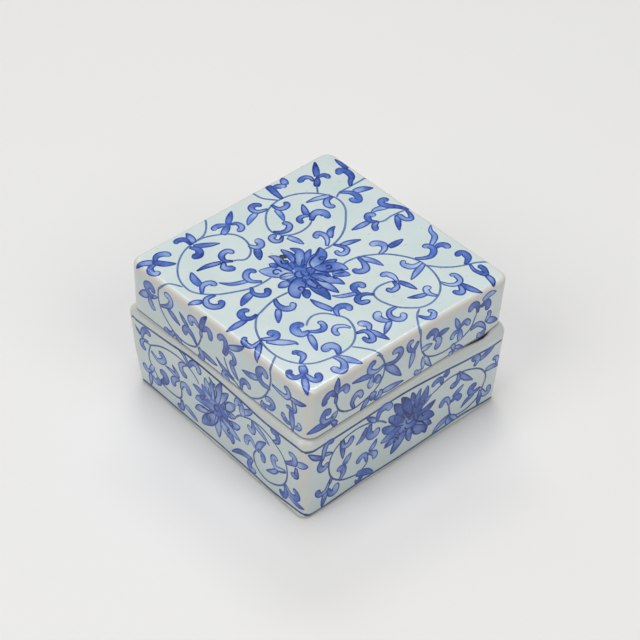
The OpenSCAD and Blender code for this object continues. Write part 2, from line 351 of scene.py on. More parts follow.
BASE_LEFT_STEMS = [
    [(-8.5, 27.4), (-10.5, 29.8), (-13, 31.4), (-16.5, 32.6), (-21, 32.8), (-26, 32.1), (-31, 30.4),
     (-35, 28), (-36.8, 26.7), (-38, 23.5), (-38.7, 20), (-38, 17), (-36, 14.3), (-34, 12),
     (-31, 10.3), (-26, 9.8), (-22, 10.3), (-20.3, 12), (-19.8, 14.5), (-19.8, 17)],
    [(-36.8, 26.7), (-41, 26.3)],
    [(12.3, 26.3), (14.5, 28.8), (17.5, 30.3), (21, 31.6), (26, 32.1), (30, 31.3), (34, 29.5),
     (37.5, 27), (39.5, 24), (40.2, 20), (39.8, 16), (38.6, 12.8), (37, 10.5), (33.5, 7.8),
     (29, 6.2), (25.5, 6.8), (22.5, 9.3), (21.5, 12.5), (21.7, 15), (23, 17.5)],
]
BASE_LEFT_LEAVES = [
    (1.5, DARK, [(-43, 28.5), (-46, 31.2)]),
    (1.3, [(-41.5, 26.3), (-38, 27.8)]),
    (1.8, [(-14, 33), (-16.3, 36), (-19.3, 36.8)]),
    (1.8, [(-21, 21.5), (-25, 22), (-28.8, 22.2)]),
    (2.0, [(-21, 22), (-24.3, 26)]),
    (2.0, [(-38.7, 11), (-39.3, 4)]),
    (2.2, PALE, [(-36.7, 16), (-39.5, 10.5)]),
    (2.2, PALE, [(-18, 9), (-15, 8), (-11, 6)]),
    (3.0, PALE, [(16.3, 30.3), (16, 36.8)]),
    (2.4, PALE, [(17, 32), (22.5, 36.8)]),
    (2.2, PALE, [(22, 31), (27, 28.8), (31, 26)]),
    (2.6, PALE, [(46.2, 28), (52, 31.5)]),
    (2.4, [(23.5, 18), (25.5, 22.3), (29, 26)]),
    (1.9, [(34.5, 16), (31.8, 13.4), (28.3, 11.3)]),
    (1.5, DARK, [(39, 19.2), (34, 15.8)]),
    (2.3, [(20, 10.5), (14, 9.5), (8.5, 5.8)]),
    (2.4, [(40.5, 8.5), (45, 6.8), (49, 7)]),
]
BASE_LEFT_CURLS = [
    (2.2, [(-42, 27.5), (-41.5, 30.5), (-39.5, 33), (-37.3, 32.8), (-37.2, 31)]),
    (2.0, [(-41, 27), (-42.8, 24.5), (-42, 22.2), (-40, 22.8)]),
    (2.2, [(-14, 32.5), (-12.5, 35.5), (-10, 36.8), (-7.6, 35.2), (-8.6, 32.8)]),
    (2.2, [(-15.8, 32.3), (-18.6, 30.5), (-19.2, 27.8), (-17.5, 25.5), (-15.5, 26.5)]),
    (2.2, [(-36.5, 23.5), (-33.5, 21.6), (-30.5, 22.5), (-28.6, 25), (-30.3, 27), (-32, 25.8)]),
    (2.3, [(-20.8, 20.8), (-23.5, 19.5), (-25, 17), (-23.9, 14.7)]),
    (2.2, [(-20, 17), (-19, 20), (-16.5, 20.8), (-14.8, 19), (-15.7, 16.8)]),
    (3.0, DARK, [(-32, 11), (-29.5, 13), (-28.6, 15.8), (-30.3, 17.2), (-32.3, 15.5)]),
    (1.9, [(-38, 12.5), (-40.3, 11), (-42.3, 12), (-41.7, 14)]),
    (2.4, [(-37.5, 10), (-36, 8.6), (-33.6, 9.5), (-33.6, 12)]),
    (2.2, [(-20, 10.5), (-19.8, 7), (-21.5, 5.8), (-23, 7)]),
    (2.0, PALE, [(15.5, 35), (14, 36.5), (12.8, 34), (13.2, 32.6)]),
    (2.2, [(22, 31), (22.5, 28), (21.5, 25.5), (19.8, 26.5), (19.9, 28)]),
    (2.2, [(33.5, 30), (35.8, 31.5), (36, 34.5), (33.5, 35.5), (32.4, 33.8)]),
    (2.2, [(39.5, 24), (42.5, 25.8), (45, 28), (44.8, 30.8), (42.8, 31), (42, 29.8)]),
    (2.2, [(45.6, 25.5), (45.5, 22), (43.8, 20.6), (42.4, 21.8)]),
    (2.2, PALE, [(22.5, 19), (20.5, 21.5), (18, 20.5), (17.3, 18), (18.3, 16.5)]),
    (2.2, [(24.5, 19), (27, 18), (27, 15.5), (25.9, 14.5)]),
    (2.2, PALE, [(38.5, 19), (34.5, 17), (32.5, 18.5), (32.3, 21), (33.8, 22.3), (34.8, 21)]),
    (2.2, [(20.3, 10.8), (18.5, 8), (18.6, 5.4), (20.8, 4.8), (21.8, 6.5)]),
    (2.2, [(39, 12), (41, 9.5), (44, 9), (45.8, 11), (44.8, 13.2), (43, 12.8)]),
    (2.0, DARK, [(38.7, 11.5), (39.3, 8), (37.8, 5.2), (36.3, 6), (36.4, 7.8)]),
]
BASE_LEFT_PETALS = [
    (3.8, [(-2, 24), (-4.5, 26), (-6.8, 29)]),
    (3.2, DARK, [(-5, 24), (-9, 24.3), (-12.4, 24.8)]),
    (2.8, [(-0.5, 25), (-1, 31), (-0.8, 34), (-2.2, 35.9)]),
    (3.8, [(-2, 26), (-3.3, 30), (-4.6, 33.8)]),
    (3.2, [(3, 26), (5.5, 31), (8.8, 35.4)]),
    (3.8, [(1.5, 25), (2.8, 31.5), (4.9, 37.9)]),
    (4.2, [(6, 26), (9, 29), (12.4, 32.4)]),
    (3.6, [(7, 20), (11, 20.8), (14.6, 23)]),
    (3.4, [(5, 24), (8, 24.6), (12.4, 26)]),
    (3.8, [(4, 20), (9, 17), (14.2, 15.2)]),
    (4.6, [(3, 17.5), (6.5, 14.5), (9, 12.5), (9.3, 10)]),
    (3.5, [(-4, 16.8), (-8.5, 15), (-12.1, 12.5)]),
    (5.2, [(0.5, 18), (-3, 13.5), (-6, 10.5), (-8.4, 7.4)]),
    (3.9, [(1.6, 19), (1.2, 13), (1.4, 7.5)]),
    (4.6, [(0, 20.8), (-5.5, 20.6), (-9, 19.6), (-11.4, 18)]),
]
BASE_LEFT_LINES = [
    (0.5, [(-0.5, 19.6), (-2, 17.9), (-5, 17.2), (-8.2, 16.2)]),
    (0.5, [(2.1, 19), (1.1, 15.5), (-0.6, 12.4)]),
    (0.5, [(3.4, 18.6), (5.4, 17.4), (8.4, 16.8)]),
    (0.5, [(4.4, 21), (7, 20.8), (9, 21.4)]),
    (0.5, [(0.2, 26.4), (1.4, 28.5), (2, 32)]),
    (0.5, [(6.6, 26.2), (6.8, 29), (8.6, 31)]),
    (0.4, [(-1, 25.5), (-2.6, 27.6), (-3, 30)]),
]
BASE_LEFT_EYES = [
    (-7.2, 21.4, 1.2),
    (-3.9, 13.4, 1.4),
    (0.6, 33.5, 0.9),
    (7.8, 25, 1.1),
    (9.4, 20.4, 1.2),
    (7.6, 15, 1.0),
    (1.6, 21.6, 2.9),
    (1.4, 22.4, 1.7),
]
BASE_RIGHT_STEMS = [
    [(-10.5, 26.5), (-13, 29), (-16.5, 31), (-20, 32.3), (-25, 33), (-30, 32.2), (-34, 30.2),
     (-36.5, 27), (-37.6, 23), (-37.3, 19), (-35.8, 15), (-33, 12), (-29.5, 9.8), (-24, 8.4),
     (-21, 9.2), (-19, 11), (-18.3, 13.5)],
    [(11.5, 27), (14, 28), (17, 29.3), (21, 30), (26, 29.4), (31, 27.8), (35.5, 25.3), (38.5, 22),
     (39.7, 18.5), (39, 14.8), (37, 10), (33, 7.3), (29, 6.5), (25.5, 7), (23, 9), (22, 12),
     (21.5, 15)],
    [(39, 14), (36, 14)],
]
BASE_RIGHT_LEAVES = [
    (2.0, [(-41, 28.5), (-44.5, 31), (-48, 34.8)]),
    (1.6, [(-40.5, 30), (-36, 28)]),
    (2.2, [(-32, 31.5), (-31.3, 26), (-31, 21.5)]),
    (2.6, [(-20, 30), (-22, 26.3), (-25, 24.5)]),
    (2.0, [(-16, 31), (-21, 36)]),
    (2.6, [(-29.8, 18.3), (-28.8, 20), (-27, 22.3)]),
    (2.2, [(-17.5, 17), (-16, 18.8), (-14.7, 21.2)]),
    (2.2, [(-38.3, 9), (-39.8, 1.8)]),
    (1.5, DARK, [(-36, 15), (-37.3, 11)]),
    (3.0, [(-23, 8.3), (-19, 6.5), (-15, 3.8)]),
    (2.0, DARK, [(-20.5, 7), (-21.6, 4.6), (-23.2, 4.2), (-24, 5.6)]),
    (2.6, DARK, [(17.5, 32.5), (19.5, 35)]),
    (2.2, [(24.5, 29.7), (28.3, 25.3), (32.8, 21.2)]),
    (2.4, [(35.5, 30.3), (39, 31.5), (42.3, 33)]),
    (2.2, [(39.5, 22.3), (43, 22), (46, 20.5)]),
    (2.2, [(23.5, 18.3), (28.2, 21.8)]),
    (2.0, [(34, 12.8), (30.8, 11.5), (28.2, 9.2)]),
    (2.6, [(22.5, 8.8), (17.5, 7), (14, 4)]),
    (2.2, PALE, [(23, 8), (27, 4.5)]),
    (2.2, [(38, 12.5), (37.3, 4.5)]),
]
BASE_RIGHT_CURLS = [
    (2.0, [(-41, 27.5), (-40.6, 32), (-39.5, 34.8), (-37, 34.8), (-37.2, 33.2)]),
    (2.2, [(-41.5, 28), (-42.5, 25), (-41, 22.3), (-38.8, 23), (-39, 25)]),
    (2.2, [(-32, 31), (-31.5, 28), (-28.8, 27.3), (-27.2, 29), (-28, 31)]),
    (2.8, [(-18.8, 30.8), (-19.3, 26.5), (-17.3, 23.8), (-15, 24.5), (-15.4, 27)]),
    (2.6, [(-15.5, 31), (-14.8, 34.5), (-12, 36), (-9.5, 34.8), (-10.2, 32.4)]),
    (2.4, [(-31.5, 11.3), (-30, 13.5), (-30.3, 16.5), (-32, 17.5), (-33, 16)]),
    (2.0, [(-18.8, 12.5), (-19.5, 16), (-21.5, 16.8), (-23.3, 15.3), (-22.5, 13.7)]),
    (2.2, [(-18, 16), (-15.3, 14.5), (-14.6, 12.5), (-16, 11.3)]),
    (1.9, [(-37, 13), (-38, 10), (-40.5, 9), (-42.3, 10.5), (-42.6, 13)]),
    (2.6, [(-37.5, 9.5), (-36, 6.5), (-33.8, 6), (-33, 8.3), (-34, 10.3)]),
    (2.2, DARK, [(16.5, 29.5), (16, 32), (14, 33), (12, 32), (12.3, 30.5)]),
    (2.2, [(24.8, 29), (25, 26), (23, 24), (21, 25.4)]),
    (2.6, [(33, 28.5), (34.5, 31), (33, 33), (30.5, 32.5)]),
    (1.9, [(45, 22.5), (45, 25), (43.5, 26.3), (42.6, 25)]),
    (2.0, [(21.7, 15.5), (20.8, 18.5), (18.8, 19.8), (17.2, 18.2), (17.8, 16.2)]),
    (2.4, DARK, [(22.5, 16.5), (25, 17.5), (26.8, 16), (26, 14.2)]),
    (2.4, DARK, [(37, 14), (33.5, 13.5), (31.8, 16), (33, 17.8), (35.3, 16.8)]),
    (2.4, [(21.5, 8.5), (22, 5.5), (24, 6.5)]),
    (2.2, PALE, [(38.5, 12), (40, 8.8), (42.3, 9), (42.3, 11.5), (41, 11.5)]),
]
BASE_RIGHT_PETALS = [
    (4.0, [(-5.5, 20.6), (-9, 21.8), (-12.5, 24.9)]),
    (4.6, [(-1.5, 22), (-5.5, 25), (-9.7, 28.6)]),
    (3.8, DARK, [(5, 20), (9.5, 20.5), (14, 22.8)]),
    (3.8, DARK, [(-2, 25), (-4.5, 29.5), (-7.6, 34.2)]),
    (2.8, [(2, 27), (2, 31), (1.2, 34.6)]),
    (2.8, [(4, 25), (4.3, 30), (5.5, 34)]),
    (4.2, [(5.5, 22), (7.5, 27.5), (9, 33.2)]),
    (3.2, [(3, 22), (6.5, 24.5), (11.6, 27)]),
    (3.4, [(-3, 16), (-7, 14.6), (-10.7, 13.3)]),
    (4.2, [(-3, 20), (-8, 18.2), (-12.7, 17.3)]),
    (4.0, [(4.5, 17), (9, 14), (13.2, 10.7)]),
    (4.6, [(5, 18.5), (10, 17), (14.2, 14.4)]),
    (4.8, [(-0.5, 16), (-3.5, 12), (-6.8, 7.5)]),
    (4.6, [(3, 15.5), (6.5, 12), (9.5, 10.5), (10.4, 7.7)]),
    (3.2, PALE, [(1.5, 16), (1.6, 12.5), (2.5, 8.5)]),
    (4.6, DARK, [(1.5, 22), (-0.5, 28), (-2, 32), (-4, 35.2)]),
]
BASE_RIGHT_LINES = [
    (0.6, [(1.6, 23), (-1, 25.6), (-3, 29), (-3.6, 31.4)]),
    (0.6, [(3.2, 20), (5, 17.4), (8, 15), (10, 12), (10.3, 8.5)]),
    (0.5, [(-1.8, 19.8), (-5, 21), (-8, 24.6), (-9.6, 26.8)]),
    (0.5, [(3, 15.8), (3.6, 13.2), (4.6, 11.6)]),
    (0.5, [(-0.8, 18), (-0.2, 16.6), (1, 16), (2.8, 16)]),
    (0.5, [(2.2, 23.4), (3, 26), (2.8, 28.6)]),
    (0.4, [(-3, 16), (-5.4, 15.6), (-8.6, 16.4)]),
    (0.4, [(4.8, 21), (6.4, 19.8), (9.6, 19.8)]),
]
BASE_RIGHT_EYES = [
    (-5.8, 26.2, 1.3),
    (-5, 13.8, 1.4),
    (2.4, 30.6, 1.0),
    (7.2, 25.6, 1.2),
    (8.6, 18.8, 1.4),
    (-9.2, 14.4, 1.0),
    (1.9, 20.6, 2.5),
    (2.2, 22.2, 1.8),
]
LID_LEFT_STEMS = [
    [(-29.2, 61), (-30, 60.3), (-31.6, 58.3), (-32.5, 57), (-32.8, 54), (-32.2, 50.5),
     (-30.8, 47.8), (-28, 45), (-24.5, 42.5), (-20, 41.2), (-16, 41.5), (-12.5, 43), (-10.8, 45),
     (-9.5, 48), (-8.8, 50.5)],
    [(28.4, 60.5), (28, 59), (28.4, 55), (27.5, 50.5), (25.5, 46), (22.5, 42.5), (18.5, 40),
     (15, 39.5), (11, 40.8), (7, 43), (4.8, 46), (3.5, 49)],
]
LID_LEFT_LEAVES = [
    (2.8, [(-38.8, 51), (-41.5, 49), (-44, 47.5)]),
    (1.6, [(-37.5, 50.3), (-33, 53)]),
    (2.3, DARK, [(-27, 51), (-24, 49.3), (-20.5, 47.5)]),
    (1.9, DARK, [(-16.5, 50), (-19, 52), (-21, 54)]),
    (2.0, [(-23, 41.3), (-19.3, 39.3)]),
    (1.4, [(-9, 50.3), (-9.1, 54)]),
    (2.3, DARK, [(-8.9, 53.2), (-8.1, 57.7), (-5.8, 61.7)]),
    (2.0, [(-8, 43.2), (-4, 42.6), (0, 42.3)]),
    (2.2, DARK, [(3.5, 50.5), (6, 55.5)]),
    (2.2, [(6.5, 55.5), (10.5, 57.8), (14.3, 61)]),
    (2.2, [(7.2, 48.8), (9, 45.5), (11.5, 43)]),
    (1.8, [(8.5, 42), (3, 43.5), (-1, 46)]),
    (2.4, [(21.5, 51.5), (17.3, 50), (13.2, 49.5)]),
    (2.4, [(25, 38.8), (24, 43)]),
    (2.0, [(38.8, 54), (42.5, 54.5), (46.8, 56.3)]),
    (2.0, [(40, 53.5), (41, 50), (38.5, 48)]),
    (2.4, [(39.3, 48.5), (40.3, 39.4)]),
]
LID_LEFT_CURLS = [
    (2.6, DARK, [(-36, 51), (-38.8, 52), (-39.8, 54.5), (-37.5, 56), (-35.7, 54.8), (-36.3, 53)]),
    (2.2, [(-38.3, 51), (-37.5, 47.8), (-35.8, 46), (-34.8, 47)]),
    (2.0, [(-31, 50), (-28, 51.5), (-25.8, 53.5), (-25.3, 56), (-27.3, 57.6), (-29.3, 56.5)]),
    (2.2, DARK, [(-11.5, 45), (-14, 48), (-17, 49), (-18.6, 47), (-17, 45.3)]),
    (2.4, [(-24, 42), (-25.5, 40), (-28, 39.6), (-29.8, 41)]),
    (2.4, [(-10, 54), (-12.5, 55.8), (-15, 55), (-15, 53.2), (-13.3, 52.5)]),
    (2.2, DARK, [(-8, 54), (-6, 56), (-4, 55.5), (-3.8, 53), (-5, 52)]),
    (2.6, [(-10, 44), (-8.3, 42), (-8.8, 39.9), (-10.8, 40.3)]),
    (2.0, DARK, [(3.5, 50.5), (4.5, 54), (4.5, 57), (2.5, 58), (0.8, 56.5), (1.2, 55)]),
    (1.8, [(6, 53.3), (8.2, 53.4), (9.5, 51), (8.3, 49), (6.9, 50)]),
    (1.8, [(7.8, 42.5), (4, 42.5), (3, 40), (5, 39.6), (6.8, 40.2)]),
    (2.0, [(12.8, 40.3), (12.8, 43.5), (14.8, 45.6), (17, 44.7), (16.6, 43)]),
    (2.6, [(27.8, 50.8), (24, 50.5), (21.8, 52.5), (21.8, 55.3), (23.8, 57), (25.8, 56),
     (25.3, 54.3)]),
    (2.0, [(25, 41.5), (28.5, 41.8), (30.3, 44.5), (28.8, 46), (26.5, 45.5), (27.5, 44.3)]),
    (1.8, [(29.5, 53.5), (33, 52.8), (36.5, 52.8), (38.2, 55), (37, 57.3), (35.3, 56.5)]),
    (1.4, [(40.2, 49.8), (37.5, 49.5), (37, 48.5)]),
    (2.0, [(39, 42), (37, 41.8), (35, 43.3), (36, 44.8)]),
    (1.8, PALE, [(41, 42), (43, 42.5), (44, 44.3), (42.8, 45.6)]),
]
LID_RIGHT_STEMS = [
    [(-16.4, 61), (-15, 60.5), (-13, 57), (-12.3, 54), (-12.8, 50.5), (-14.3, 47.5), (-17, 45.3),
     (-20, 44), (-25, 42.8), (-28.5, 43), (-31.5, 44.2), (-34, 46.5), (-35.2, 49.5), (-35.5, 52)],
    [(4.4, 61), (4.9, 60), (5, 55), (5.8, 50.5), (7.5, 47), (10, 45), (14, 43.5), (19, 43.1),
     (24, 44), (28, 45.2), (30.5, 47), (32, 50), (32.8, 52)],
]
LID_RIGHT_LEAVES = [
    (1.5, DARK, [(-35.5, 51), (-35.2, 55)]),
    (2.6, [(-35.3, 54.5), (-34.9, 58.5), (-34.4, 61.8)]),
    (3.0, DARK, [(-38, 43.5), (-43.5, 44), (-49, 44.3)]),
    (2.6, PALE, [(-37.5, 44), (-34.5, 46.5)]),
    (2.2, DARK, [(-17.5, 53), (-22.5, 54.3), (-28, 55.2)]),
    (2.8, [(-11.5, 53.5), (-8, 49.5), (-4, 44.3)]),
    (2.2, [(1.5, 52.5), (1, 49), (-0.3, 45.3)]),
    (1.5, [(3.6, 55.6), (1.5, 51.5)]),
    (3.0, [(-17.5, 44.5), (-18.5, 41)]),
    (2.2, [(-20, 43), (-23.8, 39.6)]),
    (2.2, [(-13, 42.3), (-8, 41.8), (-2.8, 41.3)]),
    (2.0, PALE, [(6.8, 46.5), (6.5, 41)]),
    (2.0, PALE, [(7.5, 46), (9.3, 42.3), (11, 40)]),
    (2.2, PALE, [(6, 50.5), (11, 50.5)]),
    (2.2, DARK, [(14, 53), (19.3, 53)]),
    (2.4, [(25, 44.3), (24.5, 50)]),
    (2.0, [(24.3, 50), (22, 56)]),
    (2.4, PALE, [(36, 56.5), (39, 57.5), (42.5, 57)]),
    (2.0, [(30.5, 46), (34, 46.3), (37, 44), (38.3, 41.5)]),
    (2.4, [(39, 45.5), (42, 43.8), (44.3, 42.5)]),
    (2.0, [(21.3, 43.8), (22.5, 40.5)]),
    (1.6, [(23, 42), (27, 39.8)]),
]
LID_RIGHT_CURLS = [
    (2.4, DARK, [(-35.5, 54.5), (-37.5, 56.8), (-40, 56.2), (-41, 54), (-39.5, 53.2)]),
    (2.4, [(-34, 55.5), (-31.5, 56), (-30, 54), (-31, 52.3)]),
    (2.2, [(-37, 44.5), (-40.5, 44.5), (-42, 47), (-40.5, 49.5), (-38.6, 48.6), (-39.5, 47)]),
    (2.2, [(-37, 43), (-35.5, 41.2), (-37, 40.3)]),
    (2.0, [(-27, 43), (-28, 46), (-26.3, 48.8), (-24, 48.8), (-23.3, 46.8), (-24.2, 45.8)]),
    (2.0, [(-12.8, 54.5), (-16, 53.5), (-19.3, 54.8), (-20, 57), (-18.3, 58.9), (-16.8, 57.6)]),
    (2.4, PALE, [(-18.5, 52), (-19.5, 49.5), (-18, 47.8)]),
    (2.4, [(-17.5, 50), (-16, 51), (-15, 49.5), (-16, 47.7)]),
    (2.0, [(-12, 54.2), (-9, 53), (-6.5, 53), (-4.2, 55), (-5, 57.5), (-7.5, 58), (-8.6, 56.8)]),
    (2.0, [(-17, 41), (-15, 40.8), (-13.8, 42.5), (-15.2, 43.5)]),
    (1.6, [(3.5, 55.5), (1.5, 53), (-0.5, 54), (-1.2, 56.5), (0, 57.8), (1.5, 57)]),
    (1.9, PALE, [(5.8, 41), (4, 40.5), (3, 41.5), (4, 42.3)]),
    (2.4, DARK, [(12, 52), (13, 54.5), (11, 56.3), (9, 55.5), (8.8, 53.8)]),
    (2.6, [(12.5, 52.5), (14.5, 50.5), (13.8, 48), (11.8, 47.7)]),
    (2.0, [(24, 49), (22, 49.2), (20.7, 47.8), (21.8, 46.7)]),
    (2.0, [(25, 50.5), (27, 51.8), (29, 50.3), (28.5, 48.6)]),
    (2.2, DARK, [(33.5, 52.5), (33.5, 55.5), (31.5, 57.3), (29.6, 56.8), (29.5, 54.5)]),
    (2.4, DARK, [(35, 54.5), (38, 54.8), (39, 52.5), (37.5, 50.8)]),
    (2.0, [(38, 41.8), (36, 40.5), (34.5, 41), (35, 42.3)]),
    (2.0, [(38, 45.5), (39.5, 47), (39.5, 48.8), (38.3, 48.5)]),
    (1.8, [(21.5, 40.8), (19.3, 40.2)]),
]
EDGE_LINES = [
    # The blue lines along the top and the foot of the base's walls, left wall and then right wall
    [(-49.8, 34.2), (-47, 34.3), (-40, 34.8), (-35, 35.3), (-30, 35.8), (-25, 36.3), (-20, 37),
     (-15, 37.6), (-10, 37.9), (-5, 37.9), (0, 37.8), (5, 37.7), (10, 37.4), (15, 37.2), (20, 36.8),
     (25, 36.3), (30, 36.1), (35, 36.3), (40.4, 36.6), (46.4, 36.9), (48.4, 36.8), (49.9, 37.4)],
    [(-45, 3.3), (-40, 3.7), (-20, 3.6), (0, 3.9), (10, 3.5), (20, 3.3), (30, 2.6), (37, 3),
     (45, 3.7), (47.5, 3.9), (49, 4.4)],
    [(-50, 37.4), (-49.5, 36.9), (-48.1, 36), (-46.7, 35.5), (-45.2, 35.1), (-40.8, 35.3),
     (-35, 35.3), (-25, 35.7), (-15, 36.3), (-5, 36.7), (0, 36.6), (5, 36.4), (10, 36), (15, 35.5),
     (20, 35.1), (25, 34.5), (30, 34.1), (35, 33.6), (40, 33.3), (46, 33.9)],
    [(-48.4, 4.2), (-47.7, 3.5), (-46, 2.2), (-43.8, 1.7), (-40, 1.7), (-35.3, 2), (-30, 2.4),
     (-20, 3.1), (-10, 3.2), (0, 3.3), (10, 3.7), (20, 4.3), (25, 4.8), (32, 4.9), (40, 4.4),
     (45, 4.4)],
]

# Colours, as they look on a screen
GLAZE = (217, 230, 229)
GLAZE_COOL = (209, 225, 223)
GLAZE_WARM = (224, 230, 225)
GLAZE_THIN = (224, 221, 212)
# Painted shade, multiplied into the upright walls so that they look darker than the lit top
WALL_PAINTED_SHADE = (241, 241, 242)
# Painted shade: black in the gap under the lid's rim, and a thin dark line along the foot
GAP_AND_FOOT_SHADE = (26, 24, 22)
BISCUIT = (186, 174, 156)
BISCUIT_DARK = (150, 136, 116)
COBALT_PALE = (150, 184, 238)
COBALT_MID = (98, 132, 212)
COBALT_DEEP = (56, 85, 165)
COBALT_INK = (28, 50, 116)
STEM_PALE = (160, 182, 214)
STEM_BLUE = (98, 127, 179)
STEM_DEEP = (60, 84, 140)
LINE_PALE = (150, 164, 200)
LINE_BLUE = (62, 74, 124)
IRON_PALE = (112, 108, 84)
IRON_SPOT = (52, 50, 34)
CINNABAR = (178, 30, 20)
CINNABAR_LIGHT = (214, 62, 38)
CINNABAR_DARK = (112, 14, 12)
FLOOR = (244, 243, 241)
FLOOR_WARM = (244, 242, 239)


def linear(rgb):
    """The shader's colour for a colour given as it looks on a screen."""
    values = []
    for level in rgb:
        share = level / 255
        if share <= 0.04045:
            values.append(share / 12.92)
        else:
            values.append(((share + 0.055) / 1.055) ** 2.4)
    return (*values, 1)


def ramp(value, start, end):
    """0 before start, 1 past end and even between them. start may be the larger of the two."""
    return np.minimum(1, np.maximum(0, (value - start) / (end - start)))


# Plans and profiles

CORNER_STEPS = 14
SIDE_STEPS = 40
# Shares of the way from the middle of a flat face to its edge at which it has rows of points
DISC_SHARES = (0.03, 0.12, 0.25, 0.4, 0.55, 0.7, 0.82, 0.92, 0.98)


def side_frame(side):
    """Directions along and out of a wall: side 0 faces -Y, 1 faces +X, 2 faces +Y, 3 faces -X."""
    angle = side * math.pi / 2
    along = np.array([math.cos(angle), math.sin(angle)])
    outward = np.array([math.sin(angle), -math.cos(angle)])
    return along, outward


def rounded_square(reach, radius):
    """Points round a square whose corners turn about (reach, reach) with the given radius."""
    points = []
    for side in range(4):
        along, outward = side_frame(side)
        for step in range(SIDE_STEPS):
            place = -reach + 2 * reach * step / SIDE_STEPS
            points.append(along * place + outward * (reach + radius))
        for step in range(CORNER_STEPS):
            angle = math.pi / 2 * step / CORNER_STEPS
            turned = along * math.sin(angle) + outward * math.cos(angle)
            points.append((along + outward) * reach + turned * radius)
    return np.array(points)


def corner_share(index):
    """How near a point of the plan is to the middle of an upright corner, from 0 to 1."""
    step = index % (SIDE_STEPS + CORNER_STEPS) - SIDE_STEPS
    return math.sin(math.pi * max(0, step) / CORNER_STEPS)


def arc(reach, radius, z, bend, start, end, steps):
    """Profile rows round a bend of the wall, between two angles in degrees from straight out."""
    rows = []
    for step in range(steps + 1):
        angle = math.radians(start + (end - start) * step / steps)
        rows.append((reach, radius + bend * math.cos(angle), z + bend * math.sin(angle)))
    return rows


def straight(first, last, steps):
    """Profile rows between two others, without the two."""
    rows = []
    for step in range(1, steps):
        share = step / steps
        rows.append(tuple(a + (b - a) * share for a, b in zip(first, last)))
    return rows


def disc(reach, radius, z, outwards):
    """Profile rows of a flat face, from its middle outwards or the other way."""
    rows = [(reach * share, radius * share, z) for share in DISC_SHARES]
    return rows if outwards else rows[::-1]


def base_rows():
    """The base from the middle of its underside, up the outside and down into the well."""
    recess_reach = BASE_REACH + FOOT_R - FOOT_RING_W - RECESS_R
    bend = RECESS_H / 2
    rows = disc(recess_reach, RECESS_R - bend, RECESS_H, True)
    rows += arc(recess_reach, RECESS_R - bend, RECESS_H - bend, bend, 90, 0, 4)
    rows += arc(recess_reach, RECESS_R + INNER_EDGE_R, INNER_EDGE_R, INNER_EDGE_R, 180, 270, 4)
    rows += straight(rows[-1], (BASE_REACH, FOOT_R - FOOT_ROUND_R, 0), 3)
    rows += arc(BASE_REACH, FOOT_R - FOOT_ROUND_R, FOOT_ROUND_R, FOOT_ROUND_R, -90, 0, 8)
    rows += straight(rows[-1], (BASE_REACH, BASE_CORNER_R, SHOULDER_Z), 22)
    rows += arc(BASE_REACH, BASE_CORNER_R - SHOULDER_R, SHOULDER_Z, SHOULDER_R, 0, 90, 12)
    flange_foot_r = FLANGE_R + INNER_EDGE_R
    rows += straight(rows[-1], (FLANGE_REACH, flange_foot_r, SEAT_Z), 4)
    rows += arc(FLANGE_REACH, flange_foot_r, SEAT_Z + INNER_EDGE_R, INNER_EDGE_R, 270, 180, 3)
    edge_z = FLANGE_TOP_Z - FLANGE_EDGE_R
    rows += arc(FLANGE_REACH, FLANGE_R - FLANGE_EDGE_R, edge_z, FLANGE_EDGE_R, 0, 90, 6)
    rows += arc(WELL_REACH, WELL_R + MOUTH_R, FLANGE_TOP_Z - MOUTH_R, MOUTH_R, 90, 180, 5)
    low_r = WELL_R - WELL_DRAFT
    fillet_z = FLOOR_Z + WELL_FILLET_R
    rows += straight(rows[-1], (WELL_REACH, low_r, fillet_z), 12)
    rows += arc(WELL_REACH, low_r - WELL_FILLET_R, fillet_z, WELL_FILLET_R, 0, -90, 8)
    rows += disc(WELL_REACH, low_r - WELL_FILLET_R, FLOOR_Z, False)
    return rows


def lid_rows():
    """The lid from the middle of its ceiling, down the inside and up over the top."""
    ceiling_z = SEAT_Z + LID_H - LID_TOP_T
    ceiling_r = LID_INNER_R - LID_FILLET_R
    rows = disc(LID_INNER_REACH, ceiling_r, ceiling_z, True)
    rows += arc(LID_INNER_REACH, ceiling_r, ceiling_z - LID_FILLET_R, LID_FILLET_R, 90, 0, 8)
    inner_z = SEAT_Z + RIM_INNER_R
    rows += straight(rows[-1], (LID_INNER_REACH, LID_INNER_R, inner_z), 8)
    rows += arc(LID_INNER_REACH, LID_INNER_R + RIM_INNER_R, inner_z, RIM_INNER_R, 180, 270, 4)
    rim_r = LID_CORNER_R - RIM_ROUND_R
    rows += straight(rows[-1], (LID_REACH, rim_r, SEAT_Z), 2)
    rows += arc(LID_REACH, rim_r, SEAT_Z + RIM_ROUND_R, RIM_ROUND_R, -90, 0, 6)
    top_r = LID_CORNER_R - LID_DRAFT
    rows += straight(rows[-1], (LID_REACH, top_r, LID_BEND_Z), 16)
    rows += arc(LID_REACH, top_r - LID_EDGE_R, LID_BEND_Z, LID_EDGE_R, 0, 90, 12)
    rows += disc(LID_REACH, top_r - LID_EDGE_R, LID_TOP_Z, False)
    return rows


# How far the shape is out of true

# The walls sway inwards by up to twice SWAY, in slow waves of so many radians to a millimetre
SWAY = 0.06
SWAY_X_ALONG = 0.045
SWAY_X_UP = 0.03
SWAY_Y_ALONG = 0.05
SWAY_Y_START = 1.3
# A dark gap shows under the rim near the right end of the front wall. The rim hangs a little
# lower there, and the seat dips further still. The gap is widest at GAP_X and closes over the
# two distances to its left and right.
RIM_DROP = 0.9
SEAT_DIP = 1.25
GAP_X = 38.5
GAP_LEFT = 13
GAP_RIGHT = 3.5
# Distances to the front at which the rim's drop sets in and is full, and the height over the rim
# at which nothing of it is left
DROP_FROM = 30
DROP_FULL = 44
DROP_H = 6
# The seat's dip sets in this far outside the flange, and this far above the shoulder's start
DIP_PLAY = 0.05
DIP_RISE = 0.2
